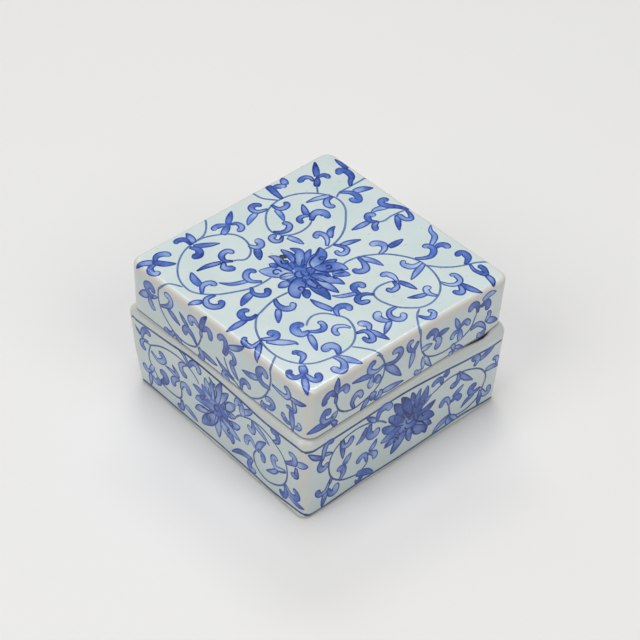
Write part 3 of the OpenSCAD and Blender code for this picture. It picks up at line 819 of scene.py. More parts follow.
# How far each upright corner of the lid is drawn out of the square, low down and high up: front
# left, front right, back right and back left
LID_PULLS = ((0, 0), (-0.3, 1.0), (0.5, 1.2), (0.3, 0.7))
# How much of its corners' pull the middle of each of its walls follows: front, right, back, left
MIDDLE_SHARE = (0.3, 0.8, 0.8, 0.4)
# How far the foot of each wall of the base stands out of the square, at its left and right end
FOOT_PULLS = ((0.4, -1.3), (0.6, 0), (0, 0.5), (-0.9, 0.4))
# The distance from the middle at which these pulls hold in full
PULL_HALF = 48
# How far the back left corner of the base bulges past its true round, in full from BULGE_Z up
CORNER_BULGE = 1.0
BULGE_Z = 16


def gap(x):
    """How open the gap under the rim is at a place along the front wall, from 0 to 1."""
    return np.exp(-((x - GAP_X) / np.where(x < GAP_X, GAP_LEFT, GAP_RIGHT)) ** 2)


def pull(body, side, u, z):
    """How far a wall stands out of the true square, at a place along it and a height. The sides
    are numbered as in side_frame, and u runs to the right, seen from outside."""
    if body == "lid":
        height = ramp(z, SEAT_Z, SEAT_Z + LID_H)
        ends = LID_PULLS[side], LID_PULLS[(side + 1) % 4]
        amounts = [low + (high - low) * height for low, high in ends]
        middle = sum(amounts) / 2 * MIDDLE_SHARE[side]
    else:
        amounts = [amount * ramp(z, SHOULDER_Z, 0) for amount in FOOT_PULLS[side]]
        middle = sum(amounts) / 2
    end = amounts[1] if u > 0 else amounts[0]
    return middle + (end - middle) * min(1, abs(u) / PULL_HALF)


def outward_pull(body, axis, x, y, z):
    """How far out of the true square the wall stands on a point's side of X or Y, axis 0 or 1."""
    if axis == 0:
        return pull(body, 1, y, z) if x > 0 else pull(body, 3, -y, z)
    return pull(body, 2, -x, z) if y > 0 else pull(body, 0, x, z)


def drawn_out(body, x, y, z):
    """How far a point of a true square body moves along X and Y, as its corners are drawn out."""
    out_x = outward_pull(body, 0, x, y, z)
    out_y = outward_pull(body, 1, x, y, z)
    if body == "box" and -x > BASE_REACH and y > BASE_REACH:
        turn = math.atan2(y - BASE_REACH, -x - BASE_REACH)
        bulge = CORNER_BULGE * math.sin(2 * turn) ** 2 * min(1, z / BULGE_Z)
        out_x += bulge * math.cos(turn)
        out_y += bulge * math.sin(turn)
    return out_x * x / PULL_HALF, out_y * y / PULL_HALF


def pulled(points, body):
    """The points of a body, drawn out of the square as its corners are."""
    moved = []
    for x, y, z in points:
        move_x, move_y = drawn_out(body, x, y, z)
        moved.append((x + move_x, y + move_y, z))
    return np.array(moved)


def hand_made(points, body):
    """Moves points as the hand that pressed the clay did: the shape is a little out of true."""
    x, y, z = points.T
    moved = points.copy()
    moved[:, 0] -= SWAY * (1 + np.sin(y * SWAY_X_ALONG + z * SWAY_X_UP)) * x / BASE_HALF
    moved[:, 1] -= SWAY * (1 + np.sin(x * SWAY_Y_ALONG + SWAY_Y_START)) * y / BASE_HALF
    if body == "lid":
        front = ramp(-y, DROP_FROM, DROP_FULL)
        moved[:, 2] -= RIM_DROP * gap(x) * front * ramp(z, SEAT_Z + DROP_H, SEAT_Z)
    elif body == "box":
        front = ramp(-y, FLANGE_HALF + DIP_PLAY, LID_INNER_HALF)
        moved[:, 2] -= SEAT_DIP * gap(x) * front * ramp(z, SHOULDER_Z + DIP_RISE, SEAT_Z)
    return moved


def turned_lid(points):
    """Turns points of the lid as it lies on the base, a little askew."""
    cos = math.cos(LID_TURN)
    sin = math.sin(LID_TURN)
    turned = points.copy()
    turned[:, 0] = points[:, 0] * cos - points[:, 1] * sin
    turned[:, 1] = points[:, 0] * sin + points[:, 1] * cos
    return turned


def settle(points, body):
    """The place on the finished box of points given for a true and straight one."""
    points = hand_made(points, body)
    if body == "lid":
        points = turned_lid(points)
    return points


# Glaze, bare biscuit and painted shade

# Bands of bare biscuit: half widths of the plan from and to, then heights from and to
FOOT_BAND = (42.6, 47.8, -0.1, 0.25)
SEAT_BAND = (41.5, 46.6, SEAT_Z - 0.2, FLANGE_TOP_Z + 0.1)
RIM_BAND = (44, 48.2, SEAT_Z - 0.1, SEAT_Z + 0.3)
# How far the glaze has run off the upright corners, from 0 to 1, outside a half width
CORNER_THIN = 0.9
OUTER_WALL = 47.5
# The same for the shoulder, the foot and the lid's rim, and how far inside the corners' axes
# the glaze is thin nowhere
SHOULDER_THIN = 0.6
FOOT_THIN = 0.5
RIM_THIN = 0.7
THIN_INSET = 2
# Distances over which it gets thinner: up the shoulder, out past the flat of the lid's top,
# and up the lid's wall to its rounded edge
SHOULDER_BAND = 2
EDGE_BAND = 0.8
EDGE_BAND_DOWN = 3.5
# Heights over the rim at which its glaze is thin and no longer thin
RIM_THIN_Z = 0.4
RIM_THICK_Z = 1.2
# Painted shade in the gap reaches as far out as the rim does: at its ends, and how much more where the
# gap is widest. It fades out over SOFT_EDGE there, and over the two heights on the flange.
GAP_DEPTH = 46.6
GAP_SPREAD = 1.55
SOFT_EDGE = 0.5
GAP_SHADE_LOW = 0.5
GAP_SHADE_HIGH = 2.5
# It lies no further in and no lower than this, and is full where the gap is this open
GAP_SHADE_INNER = 43
GAP_SHADE_LOWEST_Z = 37
GAP_SHADE_FULL_GAP = 0.25
# How dark the painted contact shade along the foot is, the height above which it has none and the one
# below which it is full
FOOT_SHADE = 0.4
FOOT_UNSHADED_Z = 0.95
FOOT_SHADED_Z = 0.65


def base_thin(out, z):
    """Glaze runs off the shoulder of the base and off the edge of its foot."""
    if out < BASE_REACH - THIN_INSET:
        return 0
    shoulder = SHOULDER_THIN * ramp(z, SHOULDER_Z, SHOULDER_Z + SHOULDER_BAND)
    foot = FOOT_THIN * ramp(z, FOOT_ROUND_R, 0)
    return max(shoulder, foot)


def lid_thin(out, z):
    """Glaze runs off the top edge of the lid and off its rim."""
    if out < LID_REACH - THIN_INSET:
        return 0
    from_top = ramp(out, LID_FLAT_HALF, LID_FLAT_HALF + EDGE_BAND)
    down = ramp(z, LID_EDGE_Z - EDGE_BAND_DOWN, LID_EDGE_Z)
    rim = RIM_THIN * ramp(z, SEAT_Z + RIM_THICK_Z, SEAT_Z + RIM_THIN_Z)
    return max(min(from_top, down), rim)


def in_bands(bands, out, z):
    """Whether a row of that half width and height lies in one of the bands."""
    return any(inner <= out <= outer and low <= z <= high for inner, outer, low, high in bands)


def painted_shade_on(points):
    """How dark the painted shade on the base is at each point: in the gap under the rim, and a little
    along the foot.
    """
    x, y, z = points.T
    seat = (y < -GAP_SHADE_INNER) * (z > GAP_SHADE_LOWEST_Z)
    seat = seat * ramp(z, SEAT_Z + GAP_SHADE_HIGH, SEAT_Z + GAP_SHADE_LOW)
    reach = GAP_DEPTH + GAP_SPREAD * gap(x)
    in_gap = seat * ramp(reach + y, 0, SOFT_EDGE) * ramp(gap(x), 0, GAP_SHADE_FULL_GAP)
    # Painted contact shade: a thin dark line along the foot where it meets the floor
    return np.maximum(in_gap, FOOT_SHADE * ramp(z, FOOT_UNSHADED_Z, FOOT_SHADED_Z))


# Meshes

SHARP_ANGLE = 50


def new_object(name, points, faces, smooth_angle=180):
    """A smooth-shaded mesh object of points in millimetres."""
    mesh = bpy.data.meshes.new(name)
    mesh.from_pydata((points * MM).tolist(), [], faces)
    mesh.validate()
    mesh.polygons.foreach_set("use_smooth", [True] * len(mesh.polygons))
    if smooth_angle < 180:
        mesh.set_sharp_from_angle(angle=math.radians(smooth_angle))
    thing = bpy.data.objects.new(name, mesh)
    bpy.context.scene.collection.objects.link(thing)
    return thing


def add_values(thing, name, values):
    """Keeps one number per point on the mesh, for its material."""
    layer = thing.data.attributes.new(name, "FLOAT", "POINT")
    layer.data.foreach_set("value", values)


def vessel(name, body, rows, bare_bands=(), thin_at=None):
    """A closed shell swept round the square plan. Rows in the bare bands are unglazed, and
    thin_at says how thin the glaze is at a distance out and a height."""
    loops = []
    bare = []
    thin = []
    for reach, radius, z in rows:
        plan = rounded_square(reach, radius)
        out = reach + radius
        loops.append(np.column_stack([plan, np.full(len(plan), z)]))
        bare += [float(in_bands(bare_bands, out, z))] * len(plan)
        level = thin_at(out, z) if thin_at else 0
        corner = CORNER_THIN if thin_at and out > OUTER_WALL else 0
        thin += [max(level, corner * corner_share(index)) for index in range(len(plan))]
    # The two flat ends close round a point in the middle
    points = np.vstack(loops + [[[0, 0, rows[0][2]], [0, 0, rows[-1][2]]]])
    bare += [0.0, 0.0]
    thin += [0.0, 0.0]
    count = len(loops[0])
    faces = []
    for low in range(0, (len(rows) - 1) * count, count):
        high = low + count
        for i in range(count):
            j = (i + 1) % count
            faces.append((low + i, low + j, high + j, high + i))
    last_ring = (len(rows) - 1) * count
    first_middle = last_ring + count
    for i in range(count):
        j = (i + 1) % count
        faces.append((j, i, first_middle))
        faces.append((last_ring + i, last_ring + j, first_middle + 1))
    if body in ("box", "lid"):
        points = pulled(points, body)
    thing = new_object(name, settle(points, body), faces, SHARP_ANGLE)
    add_values(thing, "bare", bare)
    add_values(thing, "thin", thin)
    if body == "box":
        # The base carries painted shade in the gap under the rim and along its foot
        add_values(thing, "painted_shade", painted_shade_on(points))
    return thing


# Where a stroke of paint lies on the porcelain

# The walls were traced this much too high, on a base whose walls leaned in by TRACED_DRAFT
TRACE_DROP = 0.3
TRACED_DRAFT = 1.6
LOWEST_PAINT_Z = 0.25


def seen_arc(distance, bend, slope):
    """Angle round a rounded edge of a point that looks that far past where the edge starts to
    bend, on the flat face's own plane, when the eye looks along a line of the given slope."""
    share = distance / bend
    limit = math.hypot(1, slope)
    lean = (share - slope) / limit
    if lean >= 1:
        return math.pi / 2
    return min(math.pi / 2, math.atan(slope) + math.asin(lean))


def on_lid_top(x, y):
    """Place and normal of a point traced on the plane of the lid's top. Past the flat it runs
    over the rounded edge and on down the wall."""
    place = np.array([x, y, LID_TOP_Z])
    normal = np.array([0.0, 0.0, 1.0])
    for axis in (0, 1):
        sign = 1 if place[axis] > 0 else -1
        flat = LID_FLAT_HALF + outward_pull("lid", axis, x, y, LID_TOP_Z)
        past = abs((x, y)[axis]) - flat
        if past <= 0:
            continue
        if sign < 0:
            # This edge faces the eye, and was traced as the eye sees it
            slope = abs(EYE[axis]) / EYE[2]
            angle = seen_arc(past, LID_EDGE_R, slope)
            beyond = max(0, past - LID_EDGE_R * (1 + slope)) / slope
            drop = LID_EDGE_R * (1 - math.cos(angle))
            place[1 - axis] -= EYE[1 - axis] / EYE[2] * drop
        else:
            angle = min(math.pi / 2, past / LID_EDGE_R)
            beyond = max(0, past - LID_EDGE_R * math.pi / 2)
            drop = LID_EDGE_R * (1 - math.cos(angle))
        place[axis] = sign * (flat + LID_EDGE_R * math.sin(angle))
        place[2] -= drop + beyond
        normal[axis] = sign * math.sin(angle)
        normal[2] = math.cos(angle)
    return place, normal / np.linalg.norm(normal)


def base_wall_r(z):
    """Corner radius of the base's wall at a height, which is also how far the wall stands out."""
    share = (min(z, SHOULDER_Z) - FOOT_ROUND_R) / (SHOULDER_Z - FOOT_ROUND_R)
    return BASE_CORNER_R - WALL_DRAFT * (1 - share)


def lid_wall_r(z):
    """The same for the lid."""
    share = (min(z, LID_EDGE_Z) - SEAT_Z) / (LID_EDGE_Z - SEAT_Z)
    return LID_CORNER_R - LID_DRAFT * share


def on_wall(side, u, z, body, slope_side):
    """Place and normal of a point traced on a wall, seen from outside: u runs to the right and z
    up. slope_side is the side whose view the tracing was made in."""
    along, outward = side_frame(slope_side)
    eye_out = EYE[0] * outward[0] + EYE[1] * outward[1]
    eye_along = EYE[0] * along[0] + EYE[1] * along[1]
    z -= TRACE_DROP
    if body == "lid":
        reach, wall_r, bend, bend_z = LID_REACH, lid_wall_r, LID_EDGE_R, LID_BEND_Z
        lean = 0
    else:
        reach, wall_r, bend, bend_z = BASE_REACH, base_wall_r, SHOULDER_R, SHOULDER_Z
        lean = (WALL_DRAFT - TRACED_DRAFT) * max(0, 1 - z / SHOULDER_Z)
    # The wall doesn't stand quite where it was traced, so the point slides along the line of sight
    moved = drawn_out(body, *(along * u + outward * PULL_HALF), z)
    out = moved[0] * outward[0] + moved[1] * outward[1] - lean
    u += out * eye_along / eye_out - moved[0] * along[0] - moved[1] * along[1]
    z += out * EYE[2] / eye_out
    if body == "lid":
        z = max(z, SEAT_Z + LOWEST_PAINT_Z)
    sign = 1 if u > 0 else -1
    past = abs(u) - reach
    # Round the upright corner
    turn = 0
    if past > 0:
        bend_r = wall_r(z)
        turn = seen_arc(past, bend_r, sign * eye_along / eye_out)
        z = max(LOWEST_PAINT_Z, z - EYE[2] / eye_out * bend_r * (1 - math.cos(turn)))
        u = sign * reach
    # Over the rounded top of the wall, or round its foot
    tilt = 0
    inward = 0
    if z > bend_z:
        tilt = seen_arc(z - bend_z, bend, EYE[2] / eye_out)
        inward = bend * (1 - math.cos(tilt))
        z = bend_z + bend * math.sin(tilt)
        if turn == 0:
            u -= eye_along / eye_out * inward
    elif body == "box" and z < FOOT_ROUND_R:
        z = max(z, LOWEST_PAINT_Z)
        tilt = -math.asin(1 - z / FOOT_ROUND_R)
        inward = FOOT_ROUND_R * (1 - math.cos(tilt))
    radius = wall_r(min(z, bend_z)) - inward
    along, outward = side_frame(side)
    direction = outward * math.cos(turn) + along * sign * math.sin(turn)
    flat = along * u + outward * reach + direction * radius
    moved = drawn_out(body, *flat, z)
    place = np.array([flat[0] + moved[0], flat[1] + moved[1], z])
    normal = np.array([*(direction * math.cos(tilt)), math.sin(tilt)])
    return place, normal / np.linalg.norm(normal)


def wall_place(side, body, slope_side):
    """The function that puts traced points on one wall."""
    def place(u, z):
        return on_wall(side, u, z, body, slope_side)
    return place


def round_lid(distance, z):
    """Place and normal at a distance round the lid's wall, from the middle of its back wall."""
    radius = lid_wall_r(z)
    flat_length = 2 * LID_REACH
    quarter = flat_length + radius * math.pi / 2
    start = (distance + LID_REACH) % (4 * quarter)
    side = (2 + int(start // quarter)) % 4
    rest = start % quarter
    turn = max(0, rest - flat_length) / radius
    along, outward = side_frame(side)
    direction = outward * math.cos(turn) + along * math.sin(turn)
    flat = along * (min(rest, flat_length) - LID_REACH) + outward * LID_REACH + direction * radius
    place = pulled([(*flat, z)], "lid")[0]
    return place, np.array([*direction, 0.0])


# The brush

# A stroke is cut into steps of this length, and its curve is worked out in shares of each span
STEP = 0.5
SPAN_STEP = 0.08
# Distances from a stroke's edge to its columns of points. Where a stroke is too narrow for
# WASH_SHARE of them, NARROW_INK of its edges' ink fills it instead of the wash.
EDGE_DISTANCES = (0.0, 0.34, 0.56, 0.86)
WASH_SHARE = 0.7
NARROW_INK = 0.95
# Heights over the glaze of a stroke's sides, and of the first and the last layer of strokes
BURIED = -0.02
FIRST_LAYER = 0.02
LAST_LAYER = 0.085
# Each next stroke lies this much higher, over and over in a cycle, and its end over its start
STROKE_LIFT = 0.0002
STROKE_CYCLE = 20
END_LIFT = 0.0015
# How much fuller the strokes are than their traced width, and how far a curl's stroke lies on
# the inside of its traced line, as a share of its half width
LEAF_BRUSH = 1.2
CURL_BRUSH = 1.28
CURL_LEAN = 0.2
# Least half width of a stroke and of a fine line, before the bleed
NARROWEST = 0.06
FINEST = 0.05
# How far the blue has bled into the glaze beside a stroke
BLEED = 0.32
# How much earlier a leaf or curl starts than it was traced
LEAD_IN = 0.5
# How far the strokes differ in tone, how much the wash varies along one, in a wave of so many
# radians, how much paler its middle is, and how much of a paler tone the edges take on
DRIFT = 0.05
POOLING = 0.1
POOL_WAVE = 5
MIDDLE_PALER = 0.05
EDGE_FOLLOWS = 0.4
# The brush leaves a knot of colour where it is set down, and a smaller one where it is lifted
START_KNOT = 0.28
START_KNOT_LENGTH = 1.1
END_KNOT = 0.14
END_KNOT_LENGTH = 0.9
# The share of a bend's own radius that the inner side of a stroke may fill
INNER_SHARE = 0.85
TINY = 1e-9


def smooth_line(points, step):
    """A smooth line through the points, cut into equal steps, and how far along each step is."""
    corners = np.array(points, float)
    padded = np.vstack([2 * corners[0] - corners[1], corners, 2 * corners[-1] - corners[-2]])
    line = []
    for a, b, c, d in zip(padded, padded[1:], padded[2:], padded[3:]):
        square = 2 * a - 5 * b + 4 * c - d
        cube = 3 * b - a - 3 * c + d
        for t in np.arange(0, 1, SPAN_STEP):
            line.append(0.5 * (2 * b + (c - a) * t + square * t * t + cube * t ** 3))
    line.append(corners[-1])
    line = np.array(line)
    lengths = np.concatenate([[0], np.cumsum(np.linalg.norm(np.diff(line, axis=0), axis=1))])
    count = max(6, math.ceil(lengths[-1] / step))
    wanted = np.linspace(0, lengths[-1], count + 1)
    return np.column_stack([np.interp(wanted, lengths, line[:, k]) for k in (0, 1)]), wanted


def bends(line, lengths):
    """How sharply a line turns at each of its points, in radians to a millimetre, evened out."""
    heading = np.unwrap(np.arctan2(*np.gradient(line, axis=0).T[::-1]))
    return np.convolve(np.gradient(heading, lengths), [0.2] * 5, "same")


def led_in(points):
    """The same stroke, started a little earlier, so that it joins the one it springs from."""
    (x, y), (next_x, next_y) = points[:2]
    length = math.hypot(next_x - x, next_y - y)
    back = LEAD_IN / length
    return [(x - (next_x - x) * back, y - (next_y - y) * back)] + points[1:]


def spear(s, lean):
    """Width of a spear at a share of its length. With a lean over 1 it is fullest further on."""
    return math.sin(math.pi * min(1, 0.16 + 0.84 * s) ** lean) ** 0.7


class Painting:
    """Strokes of cobalt on one body, gathered into one thin raised mesh."""

    def __init__(self, name, body, place, seed, strength=0.0, stem_ink=0.78):
        self.name = name
        self.body = body
        self.place = place
        self.random = random.Random(seed)
        self.strength = strength
        self.stem_ink = stem_ink
        self.points = []
        self.normals = []
        self.ink = []
        self.fine = []
        self.faces = []
        self.strokes = 0

    def ribbon(self, points, half_widths, outline, wash, layer,
               fade=0.0, lean=0.0, bleed=BLEED, tone=0.0, fine=0.0):
        """One stroke: a strip with a dark edge and a paler wash, whose sides dip into the glaze.
        It fades towards its end, and leans to the inside of its bends."""
        line, lengths = smooth_line(points, STEP)
        length = lengths[-1]
        share = lengths / length
        half = np.array([half_widths(s, length) + bleed for s in share])
        tangent = np.gradient(line, axis=0)
        tangent /= np.linalg.norm(tangent, axis=1)[:, None] + TINY
        side = np.column_stack([-tangent[:, 1], tangent[:, 0]])
        turned = np.cross(tangent[:-1], tangent[1:]).sum()
        line = line + side * (half * lean * np.sign(turned))[:, None]
        bend = bends(line, lengths)
        lift = FIRST_LAYER + (LAST_LAYER - FIRST_LAYER) * layer
        lift += STROKE_LIFT * (self.strokes % STROKE_CYCLE)
        self.strokes += 1
        drift = self.random.uniform(-DRIFT, DRIFT) + self.strength + tone
        wobble = self.random.uniform(0, 6)
        edge = outline + EDGE_FOLLOWS * min(0, tone)
        start = len(self.points)
        columns = 2 * len(EDGE_DISTANCES) + 1
        for row, (centre, h, s) in enumerate(zip(line, half, share)):
            scale = min(1, h / EDGE_DISTANCES[-1])
            inset = [distance * scale for distance in EDGE_DISTANCES]
            offsets = [h - d for d in inset] + [0] + [d - h for d in inset[::-1]]
            pool = POOLING * math.sin(wobble + POOL_WAVE * s) + drift - fade * s
            knot = START_KNOT * ramp(s * length, START_KNOT_LENGTH, 0)
            knot += END_KNOT * ramp((1 - s) * length, END_KNOT_LENGTH, 0)
            inner = wash + pool + knot
            inks = [0, edge, edge, inner, inner - MIDDLE_PALER, inner, edge, edge, 0]
            if scale < WASH_SHARE:
                inks[3:6] = [edge * NARROW_INK] * 3
            # In a tight bend the inner side draws in, so that the stroke doesn't fold over itself
            drawn_in = min(1, INNER_SHARE / (abs(bend[row]) * h + TINY))
            for column, (offset, ink) in enumerate(zip(offsets, inks)):
                inner_side = offset * bend[row] > 0
                spot = centre + side[row] * offset * (drawn_in if inner_side else 1)
                place, normal = self.place(*spot)
                height = BURIED if column in (0, columns - 1) else lift + END_LIFT * s
                self.points.append(place + normal * height)
                self.normals.append(normal)
                self.ink.append(max(0, min(1, ink)))
                self.fine.append(fine)
        self.close_strip(start, len(line), columns)

    def close_strip(self, start, rows, columns):
        """Faces over, under and at both ends of a stroke whose first point is number start."""
        last = start + (rows - 1) * columns
        for low in range(start, last, columns):
            high = low + columns
            for column in range(columns - 1):
                self.faces.append((low + column, low + column + 1, high + column + 1, high + column))
            self.faces.append((low, high, high + columns - 1, low + columns - 1))
        self.faces.append(tuple(range(start + columns - 1, start - 1, -1)))
        self.faces.append(tuple(range(last, last + columns)))

    def stem(self, points, width=0.48, bleed=BLEED):
        """A thin even line that thins out at its ends."""
        def half(s, length):
            # A quarter of the width is left at either end, and it sways a little between them
            ends = min(1, (s * length + 0.4) / 1.6, ((1 - s) * length + 0.4) / 1.6)
            return width / 2 * ends * (1 + 0.12 * math.sin(9 * s + width))
        wash = self.stem_ink - 0.02
        self.ribbon(points, half, self.stem_ink, wash, layer=0.0, bleed=bleed, fine=1.0)

    def leaf(self, width, points, tone=0.0):
        """A spear that starts narrow, swells and runs out to a point."""
        def half(s, length):
            return max(NARROWEST, width * LEAF_BRUSH / 2 * spear(s, 0.95))
        self.ribbon(led_in(points), half, 0.95, 0.64, layer=0.25, fade=-0.1, tone=tone)

    def curl(self, width, points, tone=0.0):
        """A hook that swells towards its round end."""
        def half(s, length):
            full = width * CURL_BRUSH / 2
            # It grows over its first half and again near its end, which is round
            grown = 0.4 + 0.6 * min(1, s / 0.5) ** 0.8 + 0.12 * max(0, s - 0.6)
            left = (1 - s) * length / full
            cap = math.sqrt(max(0, 1 - max(0, 1 - left) ** 2))
            return max(NARROWEST, full * grown * cap)
        self.ribbon(led_in(points), half, 0.95, 0.67, layer=0.45, fade=0.02, lean=CURL_LEAN, tone=tone)

    def petal(self, width, points, layer, tone=0.0):
        """A broad leaf of the flower."""
        def half(s, length):
            return max(NARROWEST, width / 2 * spear(s, 1.15))
        self.ribbon(points, half, 0.97, 0.62, layer, fade=-0.06, tone=tone)

    def line(self, width, points, layer=0.92):
        """A dark line drawn inside the flower."""
        def half(s, length):
            return max(FINEST, width / 2 * math.sin(math.pi * (0.12 + 0.8 * s)) ** 0.5)
        self.ribbon(points, half, 0.97, 0.95, layer)

    def eye(self, x, y, radius):
        """A small spiral inside a petal."""
        turned = self.random.uniform(0, 6)
        points = []
        for step in range(9):
            angle = turned + step * 0.72
            reach = radius * (1 - 0.07 * step)
            points.append((x + reach * math.cos(angle), y + reach * math.sin(angle)))
        self.line(0.55, points, layer=0.97)

    def ground(self, x, y, radius):
        """The round of wash on which the petals lie."""
        def half(s, length):
            return max(NARROWEST, radius * math.sqrt(max(0, 1 - (2 * s - 1) ** 2)))
        across = [(x - radius, y), (x - radius / 2, y), (x + radius / 2, y), (x + radius, y)]
        self.ribbon(across, half, 0.8, 0.76, layer=0.55)

    def scroll(self, stems, leaves, curls):
        """The stems of a face and all that springs from them."""
        for points in stems:
            self.stem(points)
        for width, *tone, points in leaves:
            self.leaf(width, points, *tone)
        for width, *tone, points in curls:
            self.curl(width, points, *tone)

    def flower(self, ground, petals, lines, eyes, darker=0.0):
        """A lotus on its round of wash. Each petal lies over the one before it."""
        self.ground(*ground)
        self.strength += darker
        for index, (width, *tone, points) in enumerate(petals):
            self.petal(width, points, 0.6 + 0.28 * index / len(petals), *tone)
        for width, points in lines:
            self.line(width, points)
        for x, y, radius in eyes:
            self.eye(x, y, radius)
        self.strength -= darker

    def finish(self, material):
        """Makes the mesh of all the strokes."""
        settled = settle(np.array(self.points), self.body)
        normals = np.array(self.normals)
        if self.body == "lid":
            normals = turned_lid(normals)
        thing = new_object(self.name, settled, self.faces)
        add_values(thing, "cobalt", self.ink)
        add_values(thing, "fine", self.fine)
        thing.data.normals_split_custom_set_from_vertices(normals.tolist())
        thing.data.materials.append(material)
        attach(thing, self.body)


# Materials

# Upward part of the normal of a face that gets none of the painted wall shade, and of one that gets it
# in full
LEVEL_FACE = 0.95
UPRIGHT_FACE = 0.5


class Nodes:
    """Short names for making shader nodes."""

    def __init__(self, material):
        material.use_nodes = True
        self.tree = material.node_tree
        self.shader = self.tree.nodes["Principled BSDF"]
        place = self.tree.nodes.new("ShaderNodeTexCoord")
        self.place = place.outputs["Object"]
        self.normal = place.outputs["Normal"]

    def link(self, source, target):
        self.tree.links.new(source, target)

    def noise(self, size, detail=3, roughness=0.55, stretch=None):
        """Noise whose features are about that many millimetres across."""
        node = self.tree.nodes.new("ShaderNodeTexNoise")
        node.inputs["Scale"].default_value = 1 / (size * MM)
        node.inputs["Detail"].default_value = detail
        node.inputs["Roughness"].default_value = roughness
        source = self.place
        if stretch:
            mapping = self.tree.nodes.new("ShaderNodeMapping")
            mapping.inputs["Scale"].default_value = stretch
            self.link(source, mapping.inputs["Vector"])
            source = mapping.outputs["Vector"]
        self.link(source, node.inputs["Vector"])
        return node.outputs["Fac"]

    def spread(self, source, low, high, to_low=0.0, to_high=1.0):
        """Maps the values from low to high onto others, and cuts off what lies outside."""
        node = self.tree.nodes.new("ShaderNodeMapRange")
        node.inputs["From Min"].default_value = low
        node.inputs["From Max"].default_value = high
        node.inputs["To Min"].default_value = to_low
        node.inputs["To Max"].default_value = to_high
        self.link(source, node.inputs["Value"])
        return node.outputs["Result"]

    def math(self, operation, first, second):
        node = self.tree.nodes.new("ShaderNodeMath")
        node.operation = operation
        for value, socket in zip((first, second), node.inputs):
            if isinstance(value, (int, float)):
                socket.default_value = value
            else:
                self.link(value, socket)
        return node.outputs["Value"]

    def mix(self, share, first, second, blend="MIX"):
        """A blend of two colours, each given by its levels or by another node."""
        node = self.tree.nodes.new("ShaderNodeMix")
        node.data_type = "RGBA"
        node.blend_type = blend
        sockets = [s for s in node.inputs if s.type == "RGBA"]
        self.link(share, node.inputs["Factor"])
        for value, socket in zip((first, second), sockets):
            if isinstance(value, tuple):
                socket.default_value = linear(value)
            else:
                self.link(value, socket)
        return next(s for s in node.outputs if s.type == "RGBA")

    def attribute(self, name):
        """The numbers that the mesh keeps under that name."""
        node = self.tree.nodes.new("ShaderNodeAttribute")
        node.attribute_name = name
        return node.outputs["Fac"]

    def ramp(self, source, stops):
        """The colour that belongs to a value between the stops."""
        node = self.tree.nodes.new("ShaderNodeValToRGB")
        elements = node.color_ramp.elements
        while len(elements) < len(stops):
            elements.new(0.5)
        for element, (position, colour) in zip(elements, stops):
            element.position = position
            element.color = linear(colour)
        self.link(source, node.inputs["Fac"])
        return node.outputs["Color"]

    def bump(self, source, strength, distance):
        """Makes the surface look uneven, by up to that many millimetres."""
        node = self.tree.nodes.new("ShaderNodeBump")
        node.inputs["Strength"].default_value = strength
        node.inputs["Distance"].default_value = distance * MM
        self.link(source, node.inputs["Height"])
        self.link(node.outputs["Normal"], self.shader.inputs["Normal"])

    def with_painted_wall_shade(self, colour):
        """The colour with painted shade multiplied in: none on level faces, full on upright and
        downward ones.
        """
        split = self.tree.nodes.new("ShaderNodeSeparateXYZ")
        self.link(self.normal, split.inputs["Vector"])
        upright = self.spread(split.outputs["Z"], LEVEL_FACE, UPRIGHT_FACE)
        return self.mix(upright, colour, WALL_PAINTED_SHADE, "MULTIPLY")

    def colour(self, source):
        self.link(source, self.shader.inputs["Base Color"])

    def roughness(self, source):
        self.link(source, self.shader.inputs["Roughness"])


# Paint from pale to full: how much ink a place holds, and its colour
COBALT_TONES = [(0.3, COBALT_PALE), (0.57, COBALT_MID), (0.88, COBALT_DEEP), (1, COBALT_INK)]
STEM_TONES = [(0.3, STEM_PALE), (0.76, STEM_BLUE), (1, STEM_DEEP)]
LINE_TONES = [(0.3, LINE_PALE), (0.8, LINE_BLUE)]
IRON_TONES = [(0.3, IRON_PALE), (0.9, IRON_SPOT)]


def glaze_colour(nodes):
    """Greenish white glaze: cooler where it lies thick, with a few tiny dark specks."""
    cloud = nodes.spread(nodes.noise(size=26, detail=2), 0.35, 0.65)
    tone = nodes.mix(cloud, GLAZE_COOL, GLAZE)
    patches = nodes.spread(nodes.noise(size=9), 0.5, 0.72, to_high=0.6)
    tone = nodes.mix(patches, tone, GLAZE_WARM)
    specks = nodes.spread(nodes.noise(size=1.4, detail=1), 0.74, 0.78, to_high=0.35)
    return nodes.mix(specks, tone, BISCUIT_DARK)


def glaze_surface(nodes):
    """The gloss of the glaze, with a faint orange-peel ripple."""
    gloss = nodes.spread(nodes.noise(size=12), 0.3, 0.7, to_low=0.08, to_high=0.13)
    nodes.bump(nodes.noise(size=3.2, detail=2), strength=0.12, distance=0.12)
    nodes.shader.inputs["IOR"].default_value = 1.5
    return gloss


def glaze_material():
    """Glazed porcelain, with bare biscuit where the mesh says so."""
    material = bpy.data.materials.new("glazed_porcelain")
    nodes = Nodes(material)
    bare = nodes.attribute("bare")
    grain = nodes.spread(nodes.noise(size=1.1, detail=4), 0.4, 0.75)
    biscuit = nodes.mix(grain, BISCUIT, BISCUIT_DARK)
    # Painted shade darkens the upright and downward faces of the glaze
    tone = nodes.with_painted_wall_shade(nodes.mix(nodes.attribute("thin"), glaze_colour(nodes), GLAZE_THIN))
    tone = nodes.mix(bare, tone, biscuit)
    # Painted shade, in the gap under the rim and along the foot
    nodes.colour(nodes.mix(nodes.attribute("painted_shade"), tone, GAP_AND_FOOT_SHADE))
    gloss = glaze_surface(nodes)
    nodes.roughness(nodes.math("MAXIMUM", gloss, nodes.math("MULTIPLY", bare, 0.8)))
    return material


